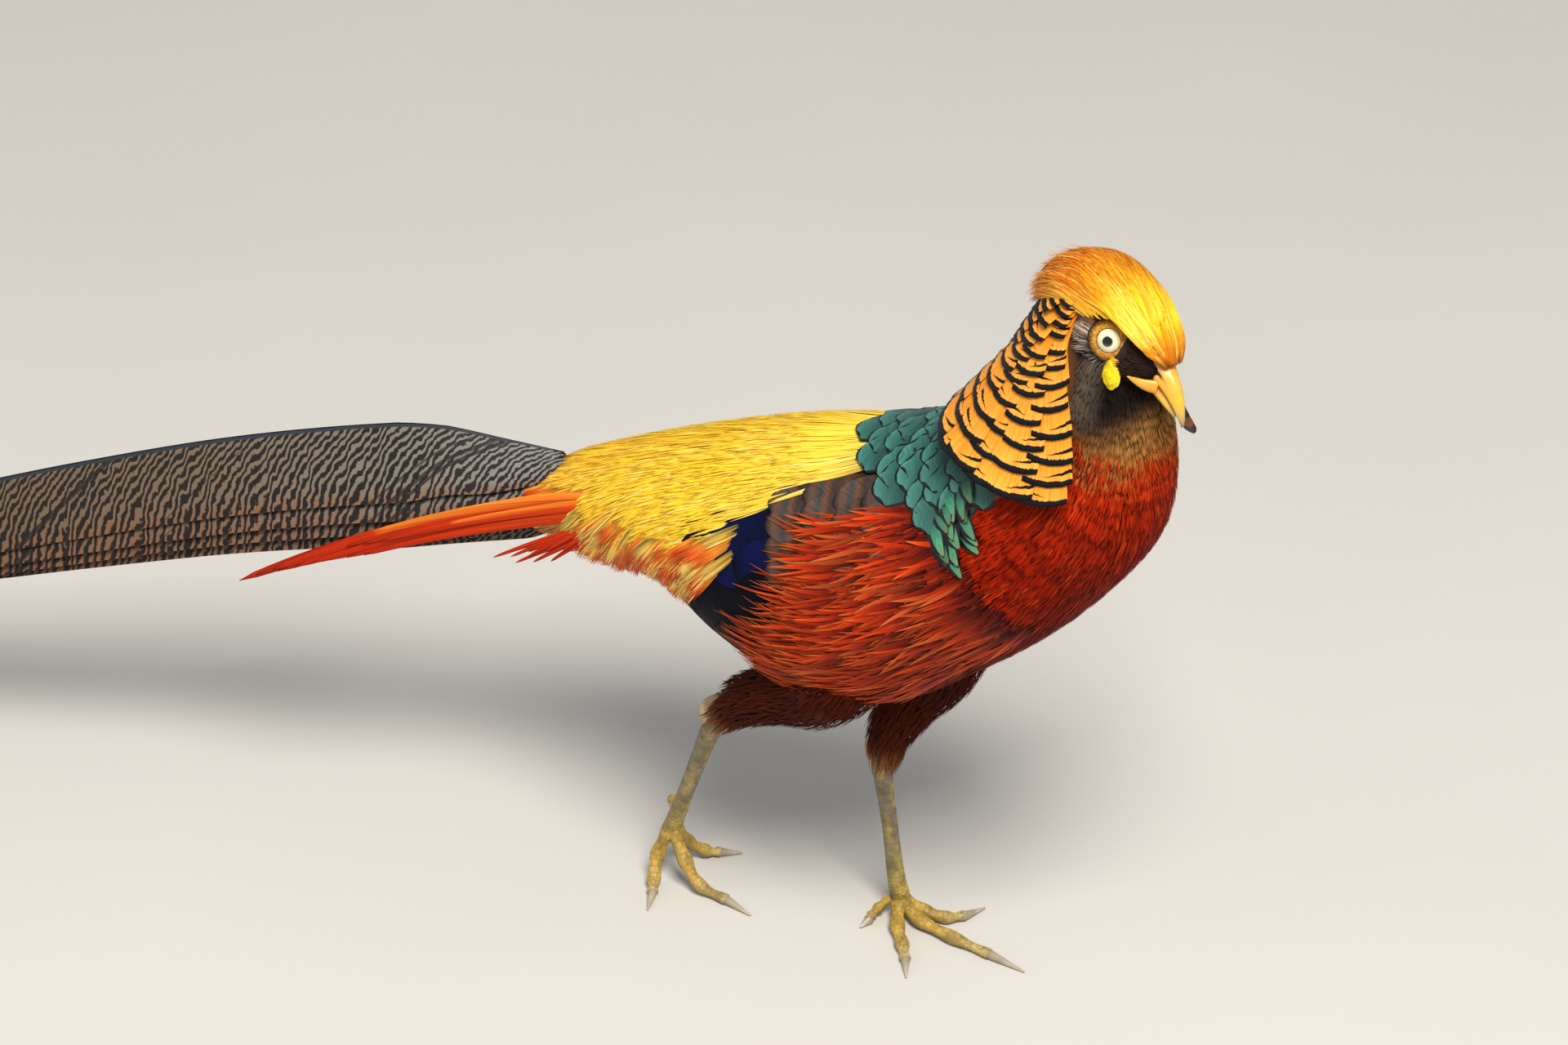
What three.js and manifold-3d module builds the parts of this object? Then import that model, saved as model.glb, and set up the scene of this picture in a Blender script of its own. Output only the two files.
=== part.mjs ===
// A golden pheasant cock in a slow walk, life size, as a museum's still model shows it.
// Millimetres. +X is the way the body faces, +Y is the bird's left and +Z is up from the floor.
// Each form is a table of sections, and each feather is a vane laid on a form by a loop.

import * as THREE from 'three';
import { mergeVertices } from 'three/addons/utils/BufferGeometryUtils.js';
import Module from 'manifold-3d';

const wasm = await Module();
wasm.setup();

// Driving dimensions.
const GAP = 0.3; // between touching pieces
const SNAP = 0.001; // points closer than this are one point
const TURN = Math.PI / 180;
const ORIGIN = new THREE.Vector3(-309.4, -67.6, 0); // the middle of the bird's box, on the floor

// Sections from the tail root (first) to the top of the neck (last), in the plane that halves the bird.
// Each row: back X, back Z, belly X, belly Z, half width, height of the widest place, heading, sideways.
const TRUNK = [
  [-158, 190, -156, 162, 13, 0.5, 15, -11],
  [-141, 199, -137, 155, 22, 0.5, 12, -7],
  [-106, 214, -95.5, 154.5, 34, 0.48, 6, -2],
  [-72, 228, -57.2, 135, 45, 0.47, 1, 0],
  [-41, 240, -21, 124, 51, 0.46, 0, 0],
  [-12, 249, 18.5, 132, 53, 0.46, -1, 0],
  [14, 258, 49.5, 154, 52, 0.47, -3, 0],
  [37, 265, 79.8, 180, 48, 0.48, -6, -1],
  [55, 272, 105.4, 209, 42, 0.5, -9, -2],
  [68, 282, 125.2, 239.5, 34, 0.5, -12, -3],
  [79, 295, 130.7, 268.1, 26, 0.5, -15, -4],
  [88, 310, 128.5, 296, 20, 0.5, -18, -5],
  [94, 324, 126, 318, 15, 0.5, -20, -6],
];
const NECK_START = 8.1; // the section where the neck parts from the torso

// The head's own frame: its middle, and its turn to the right and nod.
const HEAD_AT = new THREE.Vector3(111, -6, 329);
const HEAD_TURN = -24 * TURN;
const HEAD_NOD = 15 * TURN;
const HEAD_TILT = -4 * TURN;

// The skull with its short feathers, from the nape to the root of the bill, in the head's frame.
const SKULL = [
  [-27, 3, -25, -5, 4, 0.5, 0, 0],
  [-23, 10, -20, -11, 11, 0.5, 0, 0],
  [-12, 15, -10, -15, 15, 0.5, 0, 0],
  [0, 16, 1, -16, 15.5, 0.5, 0, 0],
  [11, 14, 11, -14, 13.5, 0.5, 0, 0],
  [19, 11, 18, -10, 9.5, 0.5, 0, 0],
  [25, 8, 24, -6, 5.5, 0.5, 0, 0],
];

// The outline of the crest, from its loose hind end to the forehead, in the head's frame.
const CREST = [
  [-52, -11, -44, -16, 5, 0.4, 0, 0],
  [-45, 9.5, -32, -8, 15, 0.4, 0, 0],
  [-27.5, 24.2, -20, 0, 19, 0.35, 0, 0],
  [-8, 26, -5, 5, 19, 0.3, 0, 0],
  [9, 22, 7, 8, 17, 0.3, 0, 0],
  [21.5, 16.5, 17, 9, 13, 0.3, 0, 0],
  [27.5, 11, 24, 8.5, 7, 0.4, 0, 0],
];

// The outside of the cape, from its hem (first) up to the back of the head.
const CAPE = [
  [18, 262, 124, 232, 58, 0.5, -8, 0],
  [34, 280, 134, 256, 48, 0.5, -10, -1],
  [49, 300, 138, 280, 38, 0.5, -13, -3],
  [62, 318, 134, 304, 29, 0.5, -16, -4],
  [73, 333, 128, 322, 22, 0.5, -18, -5],
  [82, 346, 122, 338, 17, 0.5, -20, -6],
];
const CAPE_REACH = 112 * TURN; // how far round the neck each side goes

// Values of a table part way between its rows, on a smooth curve through them, straight past its ends.
function rowAt(table, place) {
  const last = table.length - 1;
  const i = Math.min(Math.max(Math.floor(place), 0), last - 1);
  const u = Math.min(Math.max(place - i, 0), 1);
  const beyond = place - i - u;
  const [b, c] = [table[i], table[i + 1]];
  const a = i > 0 ? table[i - 1] : b.map((value, k) => 2 * value - c[k]);
  const d = i + 1 < last ? table[i + 2] : c.map((value, k) => 2 * value - b[k]);
  return b.map((value, k) => {
    const straight = (c[k] - a[k]) * u;
    const bend = (2 * a[k] - 5 * b[k] + 4 * c[k] - d[k]) * u * u;
    const twist = (3 * b[k] - a[k] - 3 * c[k] + d[k]) * u * u * u;
    return value + 0.5 * (straight + bend + twist) + (c[k] - b[k]) * beyond;
  });
}

// A point on a form: angle 0 is its back, a quarter turn is its left, and raise is the height over it.
function pointOn(table, place, angle, raise = 0) {
  const [backX, backZ, lowX, lowZ, half, waist, heading, sideways] = rowAt(table, place);
  const height = Math.hypot(backX - lowX, backZ - lowZ);
  const over = Math.cos(angle) >= 0 ? height * (1 - waist) : height * waist;
  const rise = ((over + raise) * Math.cos(angle)) / height;
  const across = (half + raise) * Math.sin(angle);
  const forward = (backX - lowX) * rise;
  const turn = heading * TURN;
  return new THREE.Vector3(
    lowX + (backX - lowX) * waist + forward * Math.cos(turn) - across * Math.sin(turn),
    sideways + forward * Math.sin(turn) + across * Math.cos(turn),
    lowZ + (backZ - lowZ) * waist + (backZ - lowZ) * rise,
  );
}

// Closed solid from points and triangles, turned to face out.
function solidFrom(points, faces) {
  const geometry = new THREE.BufferGeometry().setFromPoints(points);
  geometry.setIndex(faces);
  return solidOf(geometry);
}

function solidOf(geometry) {
  const bare = geometry.clone();
  bare.deleteAttribute('normal');
  bare.deleteAttribute('uv');
  const merged = mergeVertices(bare, SNAP);
  const make = (triVerts) =>
    new wasm.Manifold(
      new wasm.Mesh({
        numProp: 3,
        vertProperties: new Float32Array(merged.attributes.position.array),
        triVerts,
      }),
    );
  const order = new Uint32Array(merged.index.array);
  const made = make(order);
  return made.volume() > 0 ? made : make(order.reverse());
}

function geometryOf(solid) {
  const mesh = solid.getMesh();
  const points = new Float32Array(mesh.numVert * 3);
  for (let i = 0; i < mesh.numVert; i += 1) {
    points.set(mesh.vertProperties.subarray(i * mesh.numProp, i * mesh.numProp + 3), i * 3);
  }
  const geometry = new THREE.BufferGeometry();
  geometry.setAttribute('position', new THREE.BufferAttribute(points, 3));
  geometry.setIndex(new THREE.BufferAttribute(new Uint32Array(mesh.triVerts), 1));
  return geometry;
}

// Rings of points joined into one closed skin. Each end has a flat cap, in a strip from one side
// of the ring to the other, so that the cap of a thin curved sheet stays inside it.
function skinned(rings) {
  const count = rings[0].length;
  const faces = [];
  for (let i = 0; i + 1 < rings.length; i += 1) {
    for (let j = 0; j < count; j += 1) {
      const [a, b] = [i * count + j, i * count + ((j + 1) % count)];
      faces.push(a, b, b + count, a, b + count, a + count);
    }
  }
  const end = (rings.length - 1) * count;
  for (let low = 0, high = count - 1; low + 1 < high; low += 1) {
    faces.push(low, high, low + 1, end + low, end + low + 1, end + high);
    if (low + 2 < high) {
      faces.push(low + 1, high, high - 1, end + low + 1, end + high - 1, end + high);
    }
    high -= 1;
  }
  return solidFrom(rings.flat(), faces);
}

// Even steps between two ends, at whole multiples of the step, so that neighbouring sheets share them.
function lattice(from, to, step) {
  const marks = [from];
  for (let k = Math.floor(from / step) + 1; k * step < to - step * 0.05; k += 1) {
    if (k * step > from + step * 0.05) marks.push(k * step);
  }
  return [...marks, to];
}

// A whole form between two places of its table.
function loft(table, from, to, steps, sides, raise = 0) {
  const rings = [];
  lattice(from, to, (table.length - 1) / steps).forEach((place) => {
    const ring = [];
    for (let j = 0; j < sides; j += 1) {
      ring.push(pointOn(table, place, (2 * Math.PI * j) / sides, raise));
    }
    rings.push(ring);
  });
  return skinned(rings);
}

// A sheet that lies on a form between two angles, from one height over it to another.
function patch(table, { from, to, left, right, low, high }, steps, sides) {
  const angles = lattice(left, right, (2 * Math.PI) / sides);
  const rings = lattice(from, to, (table.length - 1) / steps).map((place) => {
    const inner = angles.map((angle) => pointOn(table, place, angle, low));
    const outer = angles.map((angle) => pointOn(table, place, angle, high));
    return [...inner, ...outer.reverse()];
  });
  return skinned(rings);
}

// How wide a feather is along its length, from its root to its tip, as shares of its width.
const ROUND = [0.6, 1, 0.5];
const BROAD = [0.6, 1, 0.75];
const LANCE = [0.8, 0.85, 0.05];
const STRAND = [0.7, 1, 0.8, 0.06];

// One feather laid on a form. It runs back along the form from its root, slanted towards the
// bird's left by slant, and lifts from low to high over it. Its midrib is ridged.
function laidVane(table, feather, shares, thick = 1.1) {
  const { place, angle, slant = 0, length, width, low, high, roll = 0, over } = feather;
  const steps = shares.length - 1;
  const rings = [];
  let [s, a] = [place, angle];
  for (let i = 0; i <= steps; i += 1) {
    const step = 0.02;
    const alongMm = pointOn(table, s + step, a).distanceTo(pointOn(table, s - step, a)) / (2 * step);
    const roundMm = pointOn(table, s, a + step).distanceTo(pointOn(table, s, a - step)) / (2 * step);
    const half = (width / 2) * shares[i];
    const raise = Math.max(low + ((high - low) * i) / steps, over ? over(s, Math.abs(a)) : low);
    const edge = (side, lift) =>
      pointOn(
        table,
        s + (Math.sin(slant) * half * side) / alongMm,
        a + (Math.cos(slant) * half * side) / roundMm,
        raise + lift,
      );
    rings.push([edge(-1, -roll), edge(0, thick * 0.9), edge(1, roll), edge(0, -thick * 0.1)]);
    s -= (Math.cos(slant) * length) / steps / alongMm;
    a += (Math.sin(slant) * length) / steps / roundMm;
  }
  return skinned(rings);
}

// One free feather through a row of points, as wide as widthAt says, with its face looking one way.
function freeVane(points, widthAt, face, thick) {
  const last = points.length - 1;
  const rings = points.map((at, i) => {
    const along = points[Math.min(i + 1, last)].clone().sub(points[Math.max(i - 1, 0)]).normalize();
    const out = face.clone().projectOnPlane(along).normalize();
    const side = new THREE.Vector3().crossVectors(out, along).normalize();
    const half = widthAt(i) / 2;
    const from = (way, lift) => at.clone().addScaledVector(side, way).addScaledVector(out, lift);
    return [from(-half, 0), from(0, thick / 2), from(half, 0), from(0, -thick / 2)];
  });
  return skinned(rings);
}

// A limb along points, each with its half width and half height.
function limb(points, radii, sides, steps) {
  const curve = new THREE.CatmullRomCurve3(points, false, 'centripetal');
  const sizes = radii.map((r) => (Array.isArray(r) ? r : [r, r]));
  const side = new THREE.Vector3(0, 0, 1).cross(curve.getTangent(0));
  if (side.length() < 0.5) side.set(0, 1, 0);
  const rings = [];
  for (let i = 0; i <= steps; i += 1) {
    const t = i / steps;
    const at = curve.getPoint(t);
    const along = curve.getTangent(t);
    side.projectOnPlane(along).normalize();
    const up = new THREE.Vector3().crossVectors(along, side).normalize();
    const [wide, tall] = rowAt(sizes, t * (sizes.length - 1));
    const ring = [];
    for (let j = 0; j < sides; j += 1) {
      const angle = (2 * Math.PI * (j + 0.5)) / sides;
      const point = at.clone().addScaledVector(side, Math.sin(angle) * wide);
      ring.push(point.addScaledVector(up, Math.cos(angle) * tall));
    }
    rings.push(ring);
  }
  return skinned(rings);
}

const joined = (solids) => solids.reduce((whole, piece) => whole.add(piece));
const cleared = (solid, others) => others.reduce((whole, other) => whole.subtract(other), solid);
const largest = (solid) =>
  solid.decompose().reduce((best, piece) => (piece.volume() > best.volume() ? piece : best));

const bird = new THREE.Group();
bird.position.copy(ORIGIN).negate();
const head = new THREE.Group();
head.position.copy(HEAD_AT);
head.rotation.set(HEAD_TILT, HEAD_NOD, HEAD_TURN, 'ZYX');
head.updateMatrix();
bird.add(head);

const SHADES = {
  scarlet: [0xb5300c, 0.7],
  rust: [0x8a4a1c, 0.75],
  gold: [0xf2a516, 0.55],
  yellow: [0xf0c22a, 0.6],
  orange: [0xf59a2b, 0.65],
  green: [0x1f5a48, 0.4],
  blue: [0x1a1f5c, 0.4],
  barred: [0x6b5746, 0.7],
  chestnut: [0x5a2410, 0.8],
  horn: [0xe8b13c, 0.35],
  shank: [0xb39a45, 0.6],
  claw: [0xb9a58a, 0.4],
  wattle: [0xf5d90a, 0.5],
  iris: [0xdfe3b0, 0.1],
};

function addNode(name, solid, shade, parent = bird) {
  const [color, roughness] = SHADES[shade];
  const material = new THREE.MeshStandardMaterial({ color, roughness, metalness: 0 });
  const whole = largest(solidOf(geometryOf(largest(solid))));
  const mesh = new THREE.Mesh(geometryOf(whole), material);
  mesh.name = name;
  parent.add(mesh);
  return mesh;
}

// A solid of the head's frame, set where the head holds it.
function inBirdFrame(solid) {
  return solidOf(geometryOf(solid).applyMatrix4(head.matrix));
}

// Numbers that vary as real feathers do, the same at each run.
let seed = 3;
function vary(amount) {
  seed = (seed * 16807) % 2147483647;
  return ((seed / 2147483647) * 2 - 1) * amount;
}

// Torso, neck and head.
const TRUNK_STEPS = 24;
const TRUNK_SIDES = 24;
const SKULL_STEPS = 10;
const SKULL_SIDES = 16;
const trunk = (from, to, raise) => loft(TRUNK, from, to, TRUNK_STEPS, TRUNK_SIDES, raise);
const onTrunk = (sheet) => patch(TRUNK, sheet, TRUNK_STEPS, TRUNK_SIDES);
const torso = trunk(0, NECK_START);
const torsoGrown = trunk(0, NECK_START, GAP);
const skull = loft(SKULL, 0, SKULL.length - 1, SKULL_STEPS, SKULL_SIDES);
const skullGrown = loft(SKULL, 0, SKULL.length - 1, SKULL_STEPS, SKULL_SIDES, GAP);
const neckEnd = TRUNK.length - 1;
const neckGrown = trunk(NECK_START - 0.3, neckEnd, GAP);

// The eye: a ball set in the head, inside a ring of bare skin.
const EYE_AT = { x: 2, y: 15, z: 6 };
const EYE_R = 5.6;
function eyeball(side, grow = 0) {
  const ball = new THREE.SphereGeometry(EYE_R + grow, 12, 8);
  return solidOf(ball.translate(EYE_AT.x, side * (EYE_AT.y - 3.4), EYE_AT.z));
}
function eyeRing(side, grow = 0) {
  const ring = new THREE.TorusGeometry(EYE_R * 0.98, 1.5 + grow, 5, 14).rotateX(Math.PI / 2);
  return solidOf(ring.translate(EYE_AT.x, side * (EYE_AT.y - 0.8), EYE_AT.z));
}

// The bill: the upper half hooks down over the lower, with the gape between them.
const UPPER_BILL = [
  [16, 9.5, 16, 1, 6, 0.3, 0, 0],
  [22, 9, 21, -0.5, 5.4, 0.3, 0, 0],
  [29, 6.5, 28, -2.5, 4.2, 0.3, 0, 0],
  [36, 1, 34.5, -5.5, 2.9, 0.35, 0, 0],
  [41, -6.5, 39, -9.5, 1.3, 0.4, 0, 0],
  [42.5, -11, 41.5, -11.6, 0.4, 0.5, 0, 0],
];
const LOWER_BILL = [
  [13, 0.2, 13, -6, 5.6, 0.6, 0, 0],
  [20, -1, 20, -7, 4.6, 0.6, 0, 0],
  [27, -3, 26, -8.4, 3.6, 0.6, 0, 0],
  [33, -5.8, 32, -9.6, 2.4, 0.6, 0, 0],
  [37.5, -9, 36.5, -10.6, 1, 0.6, 0, 0],
];
const upperBill = loft(UPPER_BILL, 0, 5, 8, 12);
const upperGrown = loft(UPPER_BILL, 0, 5, 8, 12, GAP);
const lowerBill = loft(LOWER_BILL, 0, 4, 5, 10);
function nostril(side) {
  const pit = new THREE.SphereGeometry(1.1, 8, 6).scale(1.9, 0.8, 0.7).rotateY(0.5);
  return solidOf(pit.translate(25.5, side * 5, 3.5));
}
function wattle(side, grow = 0) {
  const flap = new THREE.SphereGeometry(1, 8, 6).scale(4.1 + grow, 2.1 + grow, 6 + grow).rotateY(-0.15);
  return solidOf(flap.translate(9.5, side * 13.8, -5.5));
}

const skullWithLids = joined([skull, eyeRing(1), eyeRing(-1)]);
const sockets = [eyeball(1, GAP), eyeball(-1, GAP)];
const billGrown = [upperGrown, loft(LOWER_BILL, 0, 4, 5, 10, GAP)];
const wattles = [1, -1].map((side) => wattle(side));
addNode('head', cleared(skullWithLids, [...sockets, ...billGrown]), 'chestnut', head);
addNode('bill_upper', cleared(upperBill, [nostril(1), nostril(-1)]), 'horn', head);
addNode('bill_lower', cleared(lowerBill, [upperGrown]), 'horn', head);
const lidsGrown = joined([skullGrown, eyeRing(1, GAP * 1.3), eyeRing(-1, GAP * 1.3)]);
['left', 'right'].forEach((name, i) => {
  addNode('eye_' + name, eyeball(i === 0 ? 1 : -1), 'iris', head);
  addNode('wattle_' + name, cleared(wattles[i], [lidsGrown]), 'wattle', head);
});

// The crest: silky locks that run from the forehead over the crown to the nape.
function crestLocks() {
  const locks = [];
  const tiers = 3;
  for (let tier = 0; tier < tiers; tier += 1) {
    const place = 5.6 - tier * 1.7;
    const reach = (44 + 26 * Math.sin((Math.PI * tier) / (tiers - 1))) * TURN;
    const count = 4 + (tier % 2);
    for (let i = 0; i < count; i += 1) {
      const share = count === 1 ? 0 : (2 * i) / (count - 1) - 1;
      locks.push(
        laidVane(CREST, {
          place: place + vary(0.12),
          angle: share * reach,
          slant: share * 0.25 + vary(0.05),
          length: 34 + vary(3),
          width: 8.5,
          low: -7,
          high: 0.2,
        }, STRAND, 1.6),
      );
    }
  }
  return locks;
}
const crestCore = loft(CREST, 0.3, 5.9, 8, 14, -4.5);
const wholeCrest = joined([crestCore, ...crestLocks()]);
const crest = cleared(wholeCrest, [lidsGrown, ...sockets, ...billGrown]);
addNode('crest', crest, 'gold', head);
const crestGrown = loft(CREST, 0, 6, 8, 14, 2.2);

const headGrown = inBirdFrame(joined([lidsGrown, wattle(1, GAP * 1.3), wattle(-1, GAP * 1.3)]));
const neck = trunk(NECK_START + 0.012, neckEnd).subtract(headGrown);
addNode('torso', torso, 'scarlet');
addNode('neck', neck, 'rust');

// The cape: broad feathers in tiers round the neck, open at the throat.
function capeVanes() {
  const vanes = [];
  const tiers = 3;
  for (let tier = 0; tier < tiers; tier += 1) {
    const down = tier / (tiers - 1);
    const place = 4.1 - 3.2 * down;
    const count = Math.round(7 + 2 * down);
    const spread = (2 * CAPE_REACH) / count;
    for (let i = 0; i < count; i += 1) {
      const angle = -CAPE_REACH + spread * (i + 0.5);
      const round = pointOn(CAPE, place, angle + 0.05).distanceTo(pointOn(CAPE, place, angle)) / 0.05;
      vanes.push(
        laidVane(CAPE, {
          place: place + vary(0.04),
          angle: angle + ((tier % 2) - 0.5) * spread * 0.3,
          length: 26 + 10 * down,
          width: spread * round * 0.97,
          low: -5.5,
          high: 0.3,
        }, BROAD),
      );
    }
  }
  return vanes;
}
const capeSheet = { from: 0.6, to: 4.7, left: -CAPE_REACH, right: CAPE_REACH, low: -6, high: -3 };
const capeCore = patch(CAPE, capeSheet, 8, 20);

// Room kept for the pieces that lie on the torso: places, angles and heights over it.
const EDGE = 0.014; // the gap between two pieces along the torso, in places
const SEAM = 0.45 * TURN; // the gap between two pieces round the torso
const SIDE = 60 * TURN; // from the back down to the top of the wing
const FLANK = 120 * TURN; // from the back down to the lower edge of the wing
const MANTLE_END = 5.5;
const mantleCover = trunk(4.5, 8.6, 4.6);
const mantleSkirt = onTrunk({
  from: 5,
  to: 8.5,
  left: -105 * TURN,
  right: 105 * TURN,
  low: 2.1,
  high: 6,
});

// The mantle: green scale feathers on the shoulders, from under the cape.
function mantleScales() {
  const scales = [];
  const tiers = 2;
  for (let tier = 0; tier < tiers; tier += 1) {
    const place = 7.4 - tier * 1.3;
    const count = 7;
    const reach = 84 * TURN;
    const spread = (2 * reach) / count;
    for (let i = 0; i < count; i += 1) {
      const angle = -reach + spread * (i + 0.5) + ((tier % 2) - 0.5) * spread * 0.5;
      const round = pointOn(TRUNK, place, angle + 0.05).distanceTo(pointOn(TRUNK, place, angle)) / 0.05;
      scales.push(
        laidVane(TRUNK, {
          place,
          angle,
          length: 33,
          width: spread * round * 0.97,
          low: 0.8,
          high: 3.6,
        }, ROUND, 0.9),
      );
    }
  }
  return scales;
}
const mantleSheet = {
  from: MANTLE_END,
  to: 8,
  left: -90 * TURN,
  right: 90 * TURN,
  low: GAP,
  high: 2,
};
addNode('mantle', joined([onTrunk(mantleSheet), ...mantleScales()]), 'green');

const cape = cleared(joined([capeCore, ...capeVanes()]), [
  neckGrown,
  mantleCover,
  torsoGrown,
  headGrown,
  inBirdFrame(crestGrown),
]);
addNode('cape', cape, 'orange');

// How high a feather must lie to pass over the wing, by its place and its angle from the back.
const WING_TOP = 6.2;
const rampUp = (value, start, end) => {
  const share = Math.min(1, Math.max(0, (value - start) / (end - start)));
  return share * share * (3 - 2 * share);
};
const overWing = (place, angle) => WING_TOP * rampUp(angle, SIDE - 20 * TURN, SIDE - 4 * TURN);
const flankOverWing = (place, angle) =>
  WING_TOP * rampUp(angle, FLANK + 12 * TURN, FLANK + 3 * TURN) * rampUp(place, 6, 5.6);

// The rump: yellow hackles that fan over the back to the tail root.
function rumpHackles() {
  const hackles = [];
  const tiers = 3;
  for (let tier = 0; tier < tiers; tier += 1) {
    const place = 4.6 - tier * 1.6;
    const count = 5 + (tier % 2);
    const reach = 46 * TURN;
    for (let i = 0; i < count; i += 1) {
      const share = (2 * i) / (count - 1) - 1;
      hackles.push(
        laidVane(TRUNK, {
          place: place + vary(0.08),
          angle: share * reach,
          slant: share * (0.55 - 0.04 * tier) + vary(0.04),
          length: 52 + vary(4),
          width: 12,
          low: 0.6,
          high: 4.4,
          over: overWing,
        }, LANCE, 1),
      );
    }
  }
  return hackles;
}
const rumpSheet = {
  from: 0.3,
  to: MANTLE_END - EDGE,
  left: SEAM - SIDE,
  right: SIDE - SEAM,
  low: GAP,
  high: 1.7,
};
const rumpCutters = [mantleSkirt, wingCover(1), wingCover(-1)];
const rump = cleared(joined([onTrunk(rumpSheet), ...rumpHackles()]), rumpCutters);
addNode('rump', rump, 'yellow');
const rumpCover = trunk(0, 2.2, 6.2);

// The tail: long feathers in pairs, folded like a roof, that droop to just over the floor.
const TAIL_TURN = 17 * TURN;
const TAIL_ROOT = new THREE.Vector3(-152, -10, 178);
const TAIL_LENGTH = 640;
// The drop of the tail's ridge under its root, at even steps along it.
const TAIL_DROP = [0, 8, 22, 42, 65, 88, 110, 131, 150, 166];
function tailPoint(along, out, rise) {
  const t = along / TAIL_LENGTH;
  const drop = rowAt(TAIL_DROP.map((x) => [x]), t * (TAIL_DROP.length - 1))[0];
  const back = new THREE.Vector3(-Math.cos(TAIL_TURN), -Math.sin(TAIL_TURN), 0);
  const left = new THREE.Vector3(-Math.sin(TAIL_TURN), Math.cos(TAIL_TURN), 0);
  const point = TAIL_ROOT.clone().addScaledVector(back, along).addScaledVector(left, out);
  return point.setZ(TAIL_ROOT.z + rise - drop);
}
// Each pair of feathers, from the ridge of the roof to its eaves: its inner edge and its outer edge.
const TAIL_PAIRS = [
  { length: 1, inner: [0.6, 36], outer: [19, 8] },
  { length: 0.93, inner: [1.6, 27], outer: [20.5, -1] },
  { length: 0.8, inner: [3.2, 16], outer: [19.5, -9] },
  { length: 0.64, inner: [4.5, 6], outer: [17.5, -17] },
  { length: 0.47, inner: [5, -2], outer: [14, -21] },
];
function tailVane(side, { length, inner, outer }) {
  const long = TAIL_LENGTH * length;
  const [wide, drop] = [outer[0] - inner[0], inner[1] - outer[1]];
  const share = (t) => Math.min(1, 0.45 + t * 5) * Math.pow(1 - Math.pow(t, 2.4), 0.62);
  const points = [];
  const steps = 12;
  for (let i = 0; i <= steps; i += 1) {
    const t = i / steps;
    const along = long * t;
    const close = 0.5 + 0.5 * Math.min(1, along / 70);
    const lift = 0.22 + 0.78 * Math.min(1, along / 52);
    const fall = 1 - 0.6 * t;
    const out = (inner[0] + (wide / 2) * share(t)) * close;
    const rise = (inner[1] * fall - (drop / 2) * share(t)) * lift;
    points.push(tailPoint(along, side * out, rise));
  }
  const left = new THREE.Vector3(-Math.sin(TAIL_TURN), Math.cos(TAIL_TURN), 0);
  const face = left.multiplyScalar(side * drop).setZ(wide);
  const width = Math.hypot(wide, drop);
  const close = (t) => 0.5 + 0.5 * Math.min(1, (t * long) / 70);
  return freeVane(points, (i) => width * share(i / steps) * close(i / steps) + 0.8, face, 1.3);
}
const tailBlock = limb(
  [tailPoint(-12, 0, 0), tailPoint(2, 0, 0), tailPoint(26, 0, 1)],
  [[11, 12], [13, 14], [7, 9]],
  12,
  5,
);
const rumpRoof = trunk(0, 1.6, 1.7 + GAP);
const hackleRoof = onTrunk({ from: -0.46, to: 1.6, left: -1.9, right: 1.9, low: 1.9, high: 6.6 });
const tailVanes = (side) => TAIL_PAIRS.map((pair) => tailVane(side, pair));
const tail = cleared(joined([tailBlock, ...tailVanes(1), ...tailVanes(-1)]), [rumpRoof, hackleRoof]);
addNode('tail', tail, 'barred');

// Long scarlet coverts that sweep down each side of the tail.
const COVERTS = [
  { end: 140, low: -26, wide: 12, start: 2 },
  { end: 78, low: -16, wide: 11, start: -6 },
  { end: 96, low: -4, wide: 10, start: 9 },
];
const tailGrown = limb(
  [tailPoint(-12, 0, 0), tailPoint(60, 0, 0), tailPoint(TAIL_LENGTH * 0.5, 0, -4)],
  [[20, 20], [20, 24], [16, 20]],
  12,
  10,
);
function tailCovert(side, covert, i) {
  const points = [];
  const steps = 6;
  for (let k = 0; k <= steps; k += 1) {
    const t = k / steps;
    const along = -26 + (covert.end + 26) * t;
    const rise = covert.start + (covert.low - covert.start) * Math.pow(t, 1.4);
    points.push(tailPoint(along, side * (19 + 3 * t + 1.6 * i), rise));
  }
  const share = (t) => Math.min(1, 0.6 + t * 2) * Math.sqrt(1 - t);
  const face = new THREE.Vector3(-Math.sin(TAIL_TURN), Math.cos(TAIL_TURN), 0).multiplyScalar(side);
  return freeVane(points, (k) => covert.wide * share(k / steps) + 0.6, face, 1.4);
}
function covertNode(side) {
  const block = limb(
    [tailPoint(-30, side * 17, 2), tailPoint(-10, side * 20, 2), tailPoint(4, side * 21, 2)],
    [[3, 12], [3.4, 11], [1.5, 5]],
    8,
    3,
  );
  const vanes = COVERTS.map((covert, i) => tailCovert(side, covert, i));
  return cleared(joined([block, ...vanes]), [tailGrown, rumpCover, wingCover(side)]);
}

// The wings, folded against the body.
function wingFeathers(side) {
  const feathers = [];
  const rows = [
    { place: 5.1, first: 66, last: 112, count: 4, length: 34, wide: 1.2 },
    { place: 4.3, first: 64, last: 116, count: 4, length: 44, wide: 1.15 },
    { place: 3.5, first: 66, last: 112, count: 4, length: 62, wide: 1.1 },
  ];
  rows.forEach(({ place, first, last, count, length, wide }, tier) => {
    for (let i = 0; i < count; i += 1) {
      const angle = first + ((last - first) * (i + 0.5)) / count;
      const spread = ((last - first) / count) * TURN;
      feathers.push(
        laidVane(TRUNK, {
          place: place + vary(0.06),
          angle: side * angle * TURN,
          slant: -side * 0.08 * tier,
          length: length + vary(2),
          width: spread * 50 * wide * 0.85,
          low: 0.6 + 0.2 * tier,
          high: 3.8,
        }, BROAD, 1.1),
      );
    }
  });
  return feathers;
}
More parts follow.
